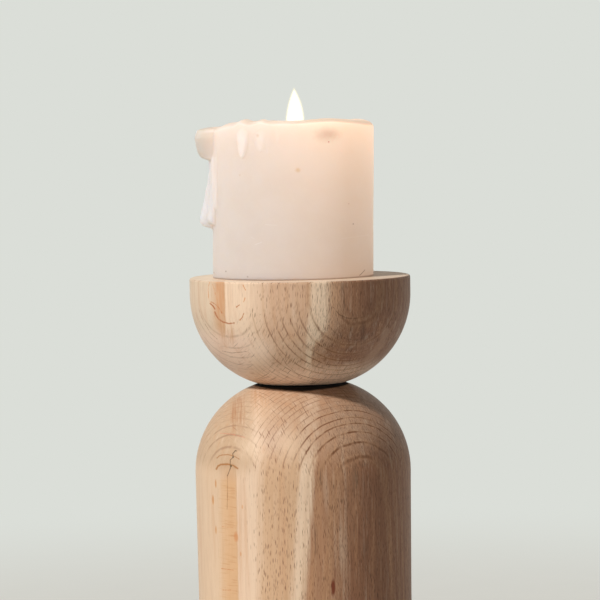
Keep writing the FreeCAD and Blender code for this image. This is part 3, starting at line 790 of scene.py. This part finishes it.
# the rim's rounded shoulder and how far it falls, on the front and on the sides
RIM_WIDTH, SIDE_RIM_WIDTH = 3.6, 5.2
RIM_FALL, SIDE_RIM_FALL = 1.7, 3.6
LOBE_WIDTH_DEG = 17.0
LIP_REACH = 6.4
LIP_FALL = 0.5
LIP_ROUND = 1.6
WELL_RADIUS = 25.6
WELL_CORNER = 4.0
FOOT_ROUND = 0.3
SPIKE_HOLE_RADIUS = 2.8
SPIKE_HOLE_DEPTH = (SPIKE_HIGH.z - SEAT) / MM + 0.4
CAD_WICK_RADIUS = 1.2
WICK_ACROSS = WICK_LOW.x / MM + CAD_WICK_RADIUS - CANDLE_AXIS.x
WICK_HOLE_RADIUS = 1.3
AROUND = 460
WALL_STEP = 0.34
LOW_SIDE_FALL = 1.8
LOW_SIDE_WIDTH_DEG = 26.0
# bumps of the rim: degrees from the left towards the front, height, half width in degrees
RIM_BUMPS = (
    (49.5, 1.15, 5.5), (66.4, 1.0, 5.0), (82.0, 0.15, 6.0), (117.0, 0.95, 17.0), (140.0, 0.25, 12.0),
    (203.0, 0.5, 16.0), (243.0, 0.4, 12.0), (292.0, 0.45, 15.0),
)
RIM_BASE = -0.62

# the folded lobe and the run below it, as depth below the rim and how far they stand out
LOBE_REACH = (
    (0.0, 5.0), (2.4, 5.2), (3.4, 6.2), (5.0, 7.4), (7.6, 8.2), (11.0, 7.5),
    (13.4, 6.7), (15.2, 5.6), (16.0, 4.8), (16.6, 3.6), (17.0, 2.0), (17.3, 0.0),
)
RUN_REACH = (
    (14.0, 0.6), (17.8, 1.9), (21.4, 1.75), (24.3, 2.1), (27.9, 2.5), (31.6, 3.45), (35.2, 3.95),
    (38.8, 4.95), (42.4, 5.7), (44.2, 5.6), (45.4, 4.7), (46.2, 2.8), (46.9, 0.8), (47.3, 0.0),
)
# strands of wax: middle and half width round the candle, share of the run's reach, share of its length
RUN_STRANDS = (
    (-0.4, 4.6, 1.0, 1.0), (5.7, 4.2, 0.50, 0.965), (-6.6, 4.4, 0.55, 0.90), (10.6, 2.2, 0.16, 0.82),
)
LOBE_HALF_WIDTH = 9.4
# drops on the front: place round the candle, half width, top and tip below the rim, thickness
DROPS = (
    (31.6, 3.4, 2.6, 15.9, 0.80), (40.6, 2.9, 3.6, 13.2, 0.34), (35.6, 1.1, 8.5, 12.6, 0.14),
    (48.6, 1.2, 4.0, 10.2, 0.14), (44.0, 1.2, 6.0, 14.6, 0.12),
)


def wrap(value, period):
    return (value + period / 2) % period - period / 2


def follow(table, depth):
    return np.interp(depth, *zip(*table))


def wandering(seed, count, longest):
    """A smooth function of two lengths, from a few waves drawn once from a seed. It stays within about 1."""
    draw = random.Random(seed)
    waves = [
        (draw.uniform(-1, 1), draw.uniform(-1, 1), draw.uniform(0, FULL_TURN), draw.uniform(0.4, 1.0))
        for _ in range(count)
    ]
    total = sum(size for *_, size in waves)

    def value(a, b):
        waved = (size * np.sin((a * u + b * v) * FULL_TURN / longest + start) for u, v, start, size in waves)
        return sum(waved) / total * 1.6
    return value


slow_wander = wandering(5, 7, 46.0)
quick_wander = wandering(9, 9, 17.0)
pit_wander = wandering(21, 12, 5.5)


def bell(turn, middle_deg, half_width_deg, power):
    """1 at a turn round the candle, and down to 0 on both sides of it."""
    return np.exp(-((wrap(np.degrees(turn) - middle_deg, 360.0) / half_width_deg) ** power))


def rim_height(turn):
    """Height of the rim's crest above the nominal rim, by the turn from the left towards the front."""
    bumps = sum(tall * bell(turn, middle, half, 2) for middle, tall, half in RIM_BUMPS)
    return RIM_BASE + bumps - LOW_SIDE_FALL * bell(turn, 0.0, LOW_SIDE_WIDTH_DEG, 4)


def rounded_back(gap, width):
    """1 in the middle and 0 at the width, as a rounded back."""
    return np.clip(1 - (gap / width) ** 2, 0, 1) ** 0.62


def together(*lengths):
    """Lengths that stand out at one place, joined with soft seams."""
    return sum(length**3 for length in lengths) ** (1 / 3)


def lobe_out(around, depth):
    """How far the folded lobe stands out, round the candle and below the rim."""
    half = LOBE_HALF_WIDTH * (1 - 0.022 * np.clip(depth, 0, 16))
    gap = np.clip(np.abs(around) / half, 0, 1)
    uneven = 1 + 0.05 * quick_wander(around * 1.6, depth * 1.6)
    return follow(LOBE_REACH, depth) * (1 - gap**2) ** 1.25 * uneven


def run_out(around, depth):
    """How far the strands of the run stand out."""
    return together(*(
        follow(RUN_REACH, depth / length_share) * reach_share * rounded_back(around - middle, half)
        for middle, half, reach_share, length_share in RUN_STRANDS
    ))


def drop_out(around, depth, middle, half, top, tip, thick):
    """How far one drop stands out: thin where it starts, widest at once, and drawn in to its tip."""
    along = np.clip((depth - top) / (tip - top), 0, 1)
    width = half * np.sqrt(np.clip(1 - along**2.2, 0, 1)) * np.clip(along * 5, 0.05, 1)
    inside = (depth > top) & (depth < tip)
    return thick * rounded_back(around - middle, np.maximum(width, 0.05)) * np.clip(along * 3, 0, 1) * inside


def drops_out(around, depth):
    return together(*(drop_out(around, depth, *drop) for drop in DROPS))


def wall_radius(turn, depth):
    """Outer radius of the candle, with what ran down it."""
    around = wrap(turn * CANDLE_RADIUS, FULL_TURN * CANDLE_RADIUS)
    near_top = np.exp(-np.clip(depth, 0, None) / 11.0)
    uneven = 0.10 * slow_wander(around, depth) + (0.03 + 0.14 * near_top) * quick_wander(around, depth * 0.8)
    uneven += 0.012 * pit_wander(around, depth)
    spilled = together(lobe_out(around, depth), run_out(around, depth), drops_out(around, depth))
    return CANDLE_RADIUS + uneven + spilled


def level_ring(turn, radius, height):
    """A ring about the candle's leaning axis, by the turn from the left towards the front."""
    return flat_ring(turn, -radius, height, CANDLE_LEAN * height)


def foot_rings(turn):
    """Down the spike's hole from its closed top, out over the foot and round its edge."""
    rings = []
    for height in np.linspace(SPIKE_HOLE_DEPTH, 0.0, 12):
        rings.append(flat_ring(turn, -SPIKE_HOLE_RADIUS, height, -CANDLE_AXIS.x))
    hole_edge, foot_edge = rings[-1], level_ring(turn, CANDLE_RADIUS - FOOT_ROUND, 0.0)
    rings += [part_way(hole_edge, foot_edge, share) for share in np.linspace(0.12, 0.95, 8)]
    for step in np.linspace(0, QUARTER_TURN, 6):
        height = FOOT_ROUND * (1 - math.cos(step))
        radius = wall_radius(turn, np.full_like(turn, RIM - height)) - FOOT_ROUND * (1 - math.sin(step))
        rings.append(level_ring(turn, radius, height))
    return rings


def rim_rings(turn):
    """Up the wall and over the rim's shoulder and lip, with the radius and height where the well starts."""
    rings = []
    crest = RIM + rim_height(turn)
    side = np.abs(np.cos(turn)) ** 2.5
    fall = RIM_FALL + (SIDE_RIM_FALL - RIM_FALL) * side * (1 - 0.75 * bell(turn, 0.0, LOBE_WIDTH_DEG, 4))
    shoulder = crest - fall
    for share in steps(int((RIM - RIM_FALL - FOOT_ROUND) / WALL_STEP)):
        height = FOOT_ROUND + (shoulder - FOOT_ROUND) * share
        rings.append(level_ring(turn, wall_radius(turn, RIM - height), height))
    top_radius = wall_radius(turn, RIM - shoulder)
    width = part_way(RIM_WIDTH, SIDE_RIM_WIDTH, side)
    crest_radius = CANDLE_RADIUS - width + 0.3 * quick_wander(turn * 22.0, 0.0)
    for step in steps(18, QUARTER_TURN):
        radius = part_way(crest_radius, top_radius, math.cos(step))
        rings.append(level_ring(turn, radius, shoulder + fall * math.sin(step)))
    lip_radius = CANDLE_RADIUS - LIP_REACH + 0.5 * quick_wander(turn * 20.0 + 9.0, 0.0)
    for share in steps(7):
        radius = part_way(crest_radius, lip_radius, share)
        rings.append(level_ring(turn, radius, crest - LIP_FALL * share**1.5))
    lip_height = crest - LIP_FALL - LIP_ROUND
    for step in steps(8, QUARTER_TURN):
        radius = lip_radius - LIP_ROUND * math.sin(step)
        rings.append(level_ring(turn, radius, lip_height + LIP_ROUND * math.cos(step)))
    return rings, lip_radius - LIP_ROUND, lip_height


def well_rings(turn, top_radius, top_height):
    """Down the well's wall, round its corner and over its floor to the wick."""
    rings = []
    for share in steps(12):
        height = part_way(top_height, WELL_FLOOR + WELL_CORNER, share)
        radius = part_way(top_radius, WELL_RADIUS - 0.4, share) + 0.25 * quick_wander(turn * 25.0, height)
        rings.append(level_ring(turn, radius, height))
    # straight left and right, the corner starts at the nominal radius
    radius = np.where(np.abs(np.sin(turn)) < TINY, WELL_RADIUS, radius)
    for step in steps(7, QUARTER_TURN):
        height = WELL_FLOOR + WELL_CORNER * (1 - math.sin(step))
        rings.append(level_ring(turn, radius - WELL_CORNER * (1 - math.cos(step)), height))
    edge, wick = rings[-1], flat_ring(turn, -WICK_HOLE_RADIUS, WELL_FLOOR, WICK_ACROSS)
    for share in steps(12):
        ring = part_way(edge, wick, share)
        ring[:, 2] = WELL_FLOOR - 0.8 * math.sin(math.pi * share)
        rings.append(ring)
    return rings


def placed(points):
    """Candle millimetres as metres in the frame."""
    return (np.asarray(points) + np.array(CANDLE_AXIS)) * MM


WAX_GLOW = (1.0, 0.66, 0.44, 1.0)
# marks on the wax: across and up from the candle's foot, half sizes, colour, strength
WAX_MARKS = (
    (15.4, 61.8, 6.2, 3.4, (176, 148, 124), 0.40),
    (17.6, 61.9, 3.2, 1.8, (162, 140, 122), 0.24),
    (16.2, 58.6, 0.45, 0.45, SPECK, 0.75),
    (2.9, 46.9, 1.3, 1.1, (222, 178, 110), 0.55),
    (26.2, 23.2, 0.4, 0.4, SPECK, 0.6),
    (24.4, 32.0, 0.35, 0.5, SPECK, 0.25),
    (-28.9, 3.6, 0.45, 0.45, SPECK, 0.6),
    (-19.4, 1.6, 0.4, 0.4, SPECK, 0.5),
    (-34.4, 2.4, 0.4, 0.5, SPECK, 0.4),
    (-14.0, 61.8, 0.8, 0.8, SMUDGE, 0.35),
    (-22.0, 45.0, 0.5, 0.6, SMUDGE, 0.3),
)
# fine scratches: the two ends, across and up, half width, colour, strength
WAX_SCRATCHES = (
    (28.7, 0.9, 31.0, 3.0, 0.28, SPECK, 0.75),
    (-15.9, 15.4, -13.2, 16.4, 0.25, FRESH_WAX, 0.8),
    (-17.6, 18.6, -16.2, 17.8, 0.22, FRESH_WAX, 0.6),
    (-11.5, 23.9, -6.6, 23.6, 0.22, FRESH_WAX, 0.6),
    (21.0, 17.2, 33.0, 18.0, 0.35, FRESH_WAX, 0.25),
)


class CandleGraph(Graph):
    """A material of the candle, with the shaded point's place from the middle of the candle's foot."""

    def __init__(self, name):
        super().__init__(bpy.data.materials.new(name))
        self.place = self.vector("SUBTRACT", self.place_mm(), tuple(CANDLE_AXIS))
        self.x, self.y, self.z = self.split(self.place)

    def painted(self, name):
        """A number that the mesh carries at each point."""
        return Number(self, self.add("ShaderNodeAttribute", attribute_name=name).outputs["Fac"])

    def gap_to_scratch(self, x0, z0, x1, z1, rough):
        """How far the shaded point is, seen from the front, from a straight scratch."""
        length = math.hypot(x1 - x0, z1 - z0)
        across, up = (x1 - x0) / length, (z1 - z0) / length
        step_x, step_z = self.x - x0, self.z - z0
        along = step_x * across + step_z * up
        aside = step_z * across - step_x * up
        past = self.math("MAXIMUM", along - length, along * -1.0)
        return self.math("MAXIMUM", abs(aside + rough), past)


def wax_colours(g, fresh, old, mottle):
    """Clouded and mottled wax, whiter where it is fresh, greyer and dirty on the lobe."""
    cloud = g.noise(g.place, (13.0, 13.0, 10.0), detail=3.0)
    colour = g.mix(g.between(cloud, 0.35, 0.70, 0.0, 0.45), WAX, (188, 181, 176))
    colour = g.mix(g.between(mottle, 0.5, 0.8, 0.0, 0.20), colour, (200, 196, 193))
    colour = g.mix(fresh, colour, FRESH_WAX)
    colour = g.mix(old, colour, OLD_WAX)
    specks = g.noise(g.place, 0.9, roughness=0.7)
    dirt = g.between(specks, 0.66, 0.74, 0.0, 0.6) * g.between(g.z, RIM - 6.0, RIM - 3.5)
    return g.mix(dirt * old, colour, (150, 118, 98))


def wax_marks(g, colour, mottle):
    """The colour with marks and scratches on the front, and how strongly the dark ones cover it."""
    facing = g.between(g.y, -4.0, -2.0, 1.0, 0.0)
    marked = 0.0
    for across, up, half_width, half_height, tint, strength in WAX_MARKS:
        gap = oval_gap(g, across, up, half_width, half_height) + g.spread(mottle, 0.3)
        cover = g.between(gap, 0.0, 1.3, strength, 0.0) * facing
        colour = g.mix(cover, colour, tint)
        marked = g.math("MAXIMUM", marked, cover)
    for *ends, half_width, tint, strength in WAX_SCRATCHES:
        gap = g.gap_to_scratch(*ends, g.spread(mottle, 0.2))
        cover = g.between(gap, 0.0, half_width, strength, 0.0) * facing
        colour = g.mix(cover, colour, tint)
        if tint == SPECK:
            marked = g.math("MAXIMUM", marked, cover)
    return colour, marked


def wax_glow(g, fresh, old, marked):
    """Painted light: the flame's light through the wax, strongest near the rim and on the right, weak on
    marks and lobe, on top of an even glow that stands in for light scattered through the wax.
    """
    warmth = g.math("EXPONENT", (RIM - g.z) / -40.0) * 0.285 + 0.105
    side = g.between(g.x, -26.0, 26.0, 1.0, 2.2)
    clear = (1.0 - old * 0.6) * g.between(fresh, 0.6, 1.0, 1.0, 0.5)
    return warmth * side * clear * (1.0 - marked * 0.75)


def wax_material():
    """Off-white candle wax: light goes into it, fresh wax is whiter, and the flame glows through the top."""
    g = CandleGraph("candle_wax")
    fresh, old = g.painted("fresh_wax"), g.painted("old_lobe")
    mottle = g.noise(g.place, 1.7, detail=3.0, roughness=0.6)
    colour, marked = wax_marks(g, wax_colours(g, fresh, old, mottle), mottle)
    # painted shade: the rim's upward-facing crest is darkened, more on the right, so that the key light does
    # not whiten it; its glow is weakened too
    crest = g.between(g.split(g.normal())[2], 0.15, 0.85) * g.between(g.z, RIM - 6.0, RIM - 4.0)
    crest = crest * g.between(g.x, -6.0, 12.0, 0.55, 1.0)
    colour = g.mix(crest * 0.75, colour, (182, 164, 146))
    # painted shadow: a dark line where the candle's foot stands on the bowl, with less glow there
    foot_shadow = g.between(g.z, 0.1, 0.9, 0.7, 0.0)
    colour = g.mix(foot_shadow, colour, (150, 108, 84))
    marked = g.math("MAXIMUM", g.math("MAXIMUM", marked, crest * 0.7), foot_shadow)
    grain = g.noise(g.place, (0.9, 0.9, 0.7), detail=3.0, roughness=0.6)
    bumps = grain * 0.4 + g.noise(g.place, (4.5, 4.5, 3.0))
    return g.surface(
        Base_Color=colour,
        Roughness=g.spread(grain, 0.08) + 0.46,
        Specular_IOR_Level=0.35,
        IOR=1.44,
        Subsurface_Weight=1.0,
        Subsurface_Radius=(1.0, 0.75, 0.55),
        Subsurface_Scale=0.024,
        Emission_Color=WAX_GLOW,
        Emission_Strength=wax_glow(g, fresh, old, marked),
        Normal=g.bump(bumps, 0.10, 0.6),
    )


def paint_wax(piece, points):
    """Numbers for the material at each point: where fresh wax ran, and the old lobe."""
    x, y, z = np.asarray(points).T
    x = x - CANDLE_LEAN * z
    turn = np.arctan2(-y, -x) % FULL_TURN
    reach = np.hypot(x, y)
    depth = RIM - z
    around = wrap(turn * CANDLE_RADIUS, FULL_TURN * CANDLE_RADIUS)
    run = np.clip(run_out(around, depth) / 1.3, 0, 1) * (depth > 15.5)
    drop = np.clip(drops_out(around, depth) / 0.7, 0, 1) * 0.6
    fresh = np.clip(run + drop, 0, 1) * (reach > CANDLE_RADIUS - 1.2)
    lobe = np.clip(lobe_out(around, depth) / 6.0, 0, 1) * (reach > CANDLE_RADIUS + 0.1) * (depth < 17.8)
    for name, values in (("fresh_wax", fresh), ("old_lobe", lobe)):
        attribute = piece.data.attributes.new(name, "FLOAT", "POINT")
        attribute.data.foreach_set("value", values.astype(np.float32))


def make_candle():
    """The pillar candle with its well, its uneven rim and the wax that ran over on the left."""
    turn = turns(AROUND)
    rim, *lip = rim_rings(turn)
    points, faces = skin(foot_rings(turn) + rim + well_rings(turn, *lip))
    piece = new_piece("pillar_candle", placed(points), faces, wax_material())
    paint_wax(piece, points)
    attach(piece, "candle")
    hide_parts("candle_wax")


def pool_material():
    g = CandleGraph("molten_wax")
    cloud = g.noise(g.place, 7.0)
    reach = g.reach(g.x - WICK_ACROSS, g.y)
    return g.surface(
        Base_Color=g.mix(g.between(cloud, 0.3, 0.7, 0.0, 0.6), (240, 218, 188), (226, 190, 150)),
        Roughness=cloud * 0.04 + 0.03,
        IOR=1.43,
        Subsurface_Weight=0.8,
        Subsurface_Radius=(1.0, 0.6, 0.35),
        Subsurface_Scale=0.006,
        # painted light: the flame's light on the molten pool, as a glow that is strongest round the wick
        Emission_Color=WAX_GLOW,
        Emission_Strength=g.between(reach, 2.0, 24.0, 0.34, 0.06),
    )


POOL_RADIUS = WELL_RADIUS + 0.2
POOL_EDGE_WIDTH = 2.2
POOL_EDGE_RISE = 0.9
POOL_THICKNESS = 0.35
POOL_WICK_RISE = 0.35


def make_pool():
    """The molten wax in the well, its edge drawn up the wall and a little up the wick."""
    turn = turns(160)
    rings = []
    for share in np.linspace(0, 1, 8):
        height = POOL + POOL_EDGE_RISE * (1 - share) ** 2.5
        rings.append(level_ring(turn, POOL_RADIUS - POOL_EDGE_WIDTH * share, height))
    edge, wick = rings[-1], flat_ring(turn, -1.0, POOL, WICK_ACROSS)
    for share in steps(14):
        ring = part_way(edge, wick, share)
        rise = POOL_WICK_RISE * max(0.0, share - 0.85) / 0.15
        ring[:, 2] = POOL + rise + 0.02 * np.sin(turn * 3 + share * 9)
        rings.append(ring)
    under = [ring - np.array([0.0, 0.0, POOL_THICKNESS]) for ring in reversed(rings)]
    points, faces = skin(rings + under, close_start=False, close_end=False)
    piece = new_piece("molten_pool", placed(points), faces, pool_material())
    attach(piece, "candle")


# wick and flame

WICK_RADIUS = 1.15
WICK_BEND = 3.0
WICK_BEND_DEG = 62.0
WICK_STRANDS = 6
WICK_TWIST = 1.1
STRAND_DEPTH = 0.13
EMBER = (1.0, 0.28, 0.05, 1.0)


def wick_material():
    """Cotton, soaked below and charred to the tip, which still glows a little."""
    g = CandleGraph("braided_wick")
    yarn = g.noise(g.place, (0.25, 0.25, 0.5), detail=3.0)
    shade = g.between(yarn, 0.3, 0.7)
    cotton = g.mix(shade, (210, 192, 160), (170, 146, 112))
    burned = g.mix(shade, (26, 22, 20), (52, 42, 36))
    return g.surface(
        Base_Color=g.mix(g.between(g.z, POOL + 0.3, POOL + 2.2), cotton, burned),
        Roughness=0.85,
        Emission_Color=EMBER,
        Emission_Strength=g.between(g.x, WICK_ACROSS + 1.4, WICK_ACROSS + 2.2) * 1.4,
        Normal=g.bump(yarn, 0.12, 0.8),
    )


def wick_path():
    """Points up the wick and round its bent tip, with the way each one faces."""
    foot, top = ((corner.z - SEAT) / MM for corner in (WICK_LOW, WICK_HIGH))
    turn = math.radians(WICK_BEND_DEG)
    bend_start = top - WICK_BEND * math.sin(turn) - WICK_RADIUS * math.cos(turn)
    path = [(0.0, height, 0.0) for height in np.linspace(foot, bend_start, 60)]
    for step in steps(14, turn):
        path.append((WICK_BEND * (1 - math.cos(step)), bend_start + WICK_BEND * math.sin(step), step))
    return path


def make_wick():
    """A round braid whose strands show as ridges, drawn in at its tip."""
    rings = []
    turn = turns(48)
    path = wick_path()
    for number, (across, height, leaning) in enumerate(path):
        twisted = turn + WICK_TWIST * (height + across)
        braid = 1 - STRAND_DEPTH * (1 - np.abs(np.cos(WICK_STRANDS / 2 * twisted)))
        radius = WICK_RADIUS * braid * min(1.0, (len(path) - 1 - number) / 3 + 0.35)
        side = radius * np.cos(turn)
        x = WICK_ACROSS + across + side * math.cos(leaning)
        rings.append(np.stack([x, radius * np.sin(turn), height - side * math.sin(leaning)], axis=1))
    points, faces = skin(rings)
    piece = new_piece("braided_wick", placed(points), faces, wick_material())
    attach(piece, "candle")
    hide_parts("candle_wick")


FLAME_ACROSS = 1.8
FLAME_LEAN = 0.25
FLAME_FOOT_COLOUR = (1.0, 0.62, 0.26, 1.0)
# the flame's outline: above the rim, half width
FLAME_OUTLINE = (
    (-5.6, 0.2), (-5.2, 1.2), (-4.2, 2.4), (-2.8, 3.4), (-1.2, 3.85), (0.6, 3.9), (2.6, 3.65), (4.7, 3.3),
    (6.8, 2.8), (9.2, 2.0), (11.3, 1.15), (12.7, 0.5), (13.3, 0.15),
)
# the flame's layers: how far each stands off the outline, how solid, linear colour, strength
FLAME_LAYERS = (
    ("flame_core", -0.50, 1.0, (1.0, 0.97, 0.86, 1.0), 1.6),
    ("flame_mantle", -0.20, 0.42, (1.0, 0.96, 0.80, 1.0), 1.3),
    ("flame_edge", 0.08, 0.30, (1.0, 0.95, 0.72, 1.0), 1.15),
    ("flame_haze", 0.36, 0.14, (1.0, 0.93, 0.66, 1.0), 1.05),
)


def flame_material(name, part, tint, strength):
    """A glowing gas that lets part of the light behind it through."""
    g = material_graph(name)
    above = g.split(g.place_mm())[2] - WAX_HIGH.z / MM
    colour = g.mix(g.between(above, -5.4, -2.5, 1.0, 0.0), tint, FLAME_FOOT_COLOUR)
    emission = g.add("ShaderNodeEmission", {"Color": colour, "Strength": strength})
    return g.two_shaders(part, g.add("ShaderNodeBsdfTransparent"), emission)


def smooth_follow(table, place):
    """A smooth curve through a few given points of (place, value)."""
    places, values = (np.array(column) for column in zip(*table))
    slopes = np.gradient(values, places)
    k = int(np.clip(np.searchsorted(places, place) - 1, 0, len(places) - 2))
    span = places[k + 1] - places[k]
    t = (place - places[k]) / span
    first = (2 * t**3 - 3 * t**2 + 1) * values[k] + (t**3 - 2 * t**2 + t) * span * slopes[k]
    second = (3 * t**2 - 2 * t**3) * values[k + 1] + (t**3 - t**2) * span * slopes[k + 1]
    return max(0.0, float(first + second))


def make_flame():
    """A slim teardrop that starts round the bent wick and leans a touch, in layers with soft edges."""
    foot, tip = FLAME_OUTLINE[0][0], FLAME_OUTLINE[-1][0]
    turn = turns(64)
    for name, stand_off, part, tint, strength in FLAME_LAYERS:
        rings = []
        for above in np.linspace(foot - stand_off, tip + stand_off * 1.6, 60):
            radius = max(0.05, smooth_follow(FLAME_OUTLINE, min(max(above, foot), tip)) + stand_off)
            lean = FLAME_LEAN * math.sin((above + 5.0) / 19.0 * math.pi)
            rings.append(flat_ring(turn, -radius, RIM + above, FLAME_ACROSS + lean))
        points, faces = skin(rings)
        piece = new_piece(name, placed(points), faces, flame_material(name, part, tint, strength))
        piece.visible_shadow = False
        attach(piece, "candle")


# felt foot

FELT_EDGE_ROUND = 0.35


def felt_material():
    g = material_graph("wool_felt")
    place = g.place_mm()
    tuft = g.noise(place, 0.6, detail=4.0, roughness=0.7, distortion=0.6)
    worn = g.between(g.noise(place, 9.0), 0.4, 0.8, 0.0, 0.3)
    return g.surface(
        Base_Color=g.mix(worn, g.mix(g.between(tuft, 0.3, 0.72), (40, 36, 34), (78, 70, 64)), (96, 86, 76)),
        Roughness=0.95,
        Specular_IOR_Level=0.15,
        Sheen_Weight=0.5,
        Sheen_Roughness=0.5,
        Normal=g.bump(tuft, 0.35, 0.9),
    )


def make_felt():
    """The felt disc: soft cut edge, and an underside that isn't quite flat."""
    turn = turns(220)
    radius = (FELT_HIGH.x - FELT_LOW.x) / 2 / MM
    thick = (FELT_HIGH.z - FELT_LOW.z) / MM
    flat = radius - FELT_EDGE_ROUND
    fuzz = wandering(33, 14, 9.0)
    outline = [(share * flat, 0.0) for share in np.linspace(0.03, 1, 40)]
    for step in steps(5, QUARTER_TURN):
        outline.append((flat + FELT_EDGE_ROUND * math.sin(step), FELT_EDGE_ROUND * (1 - math.cos(step))))
    outline.append((radius, thick - FELT_EDGE_ROUND))
    for step in steps(5, QUARTER_TURN):
        height = thick - FELT_EDGE_ROUND * (1 - math.sin(step))
        outline.append((flat + FELT_EDGE_ROUND * math.cos(step), height))
    outline += [(share * flat, thick) for share in np.linspace(1, 0.03, 12)[1:]]
    rings = []
    for reach, height in outline:
        x, y = reach * np.cos(turn), reach * np.sin(turn)
        out = reach + 0.10 * fuzz(x * 2.0, y * 2.0) * (reach > radius - 1)
        lift = 0.06 * np.clip(fuzz(x, y) + 1, 0, 2) if height == 0.0 else 0.0
        rings.append(flat_ring(turn, out, height + lift) * MM)
    piece = new_piece("felt_disc", *skin(rings), felt_material())
    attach(piece, "stand")
    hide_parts("felt_foot")


# surroundings

def seen_rays(g):
    """1 for rays that see the pale surroundings directly, in a mirror or through glass."""
    path = g.add("ShaderNodeLightPath").outputs
    direct = g.math("MAXIMUM", path["Is Camera Ray"], path["Is Glossy Ray"])
    return g.math("MAXIMUM", direct, path["Is Transmission Ray"])


def make_world():
    world = bpy.data.worlds.new("studio")
    bpy.context.scene.world = world
    g = Graph(world, "ShaderNodeOutputWorld")
    fill = g.add("ShaderNodeBackground", {"Color": (*FILL_COLOUR, 1.0), "Strength": FILL_STRENGTH})
    seen = g.add("ShaderNodeBackground", {"Color": rgba(BACKDROP)})
    g.two_shaders(seen_rays(g), fill, seen)


def floor_material():
    """Pale and plain, lit and shadowed near the stand, and the backdrop's own colour further out."""
    g = material_graph("pale_floor")
    place = g.place_mm()
    x, y, z = g.split(place)
    near, far = (edge / MM for edge in FLOOR_FADE)
    fade = g.between(g.reach(x, y), near, far) * seen_rays(g)
    grit = g.noise(place, 30.0, detail=3.0)
    colour = g.mix(g.between(grit, 0.3, 0.7, 0.0, 0.10), FLOOR, BACKDROP)
    lit = g.add("ShaderNodeBsdfDiffuse", {"Color": colour})
    plain = g.add("ShaderNodeEmission", {"Color": rgba(BACKDROP), "Strength": 1.0})
    return g.two_shaders(fade, lit, plain)


def make_floor():
    turn = turns(128)
    rings = [flat_ring(turn, reach, 0.0) for reach in FLOOR_EDGES]
    floor = new_piece("floor", *skin(rings, close_start=False), floor_material(), smooth=False)


def make_key():
    """A soft sun from the left front, above eye level."""
    lamp = bpy.data.lights.new("key", "SUN")
    lamp.energy = KEY_STRENGTH
    lamp.color = KEY_COLOUR
    lamp.angle = math.radians(KEY_SPREAD_DEG)
    key = bpy.data.objects.new("key", lamp)
    bpy.context.scene.collection.objects.link(key)
    turn, high = math.radians(KEY_AZIMUTH_DEG), math.radians(KEY_HEIGHT_DEG)
    to_light = Vector((-math.sin(turn) * math.cos(high), -math.cos(turn) * math.cos(high), math.sin(high)))
    key.rotation_mode = "QUATERNION"
    key.rotation_quaternion = to_light.to_track_quat("Z", "Y")


def make_camera():
    lens = bpy.data.cameras.new("camera")
    lens.lens = LENS_MM
    lens.sensor_width = SENSOR_MM
    lens.clip_start = 0.1
    lens.clip_end = 50.0
    camera = bpy.data.objects.new("camera", lens)
    bpy.context.scene.collection.objects.link(camera)
    camera.matrix_world = camera_place()
    bpy.context.scene.camera = camera


make_camera()
make_world()
make_floor()
make_key()
dress_wood()
dress_metal()
make_candle()
make_pool()
make_wick()
make_flame()
make_felt()
bpy.context.scene.view_settings.view_transform = "Standard"
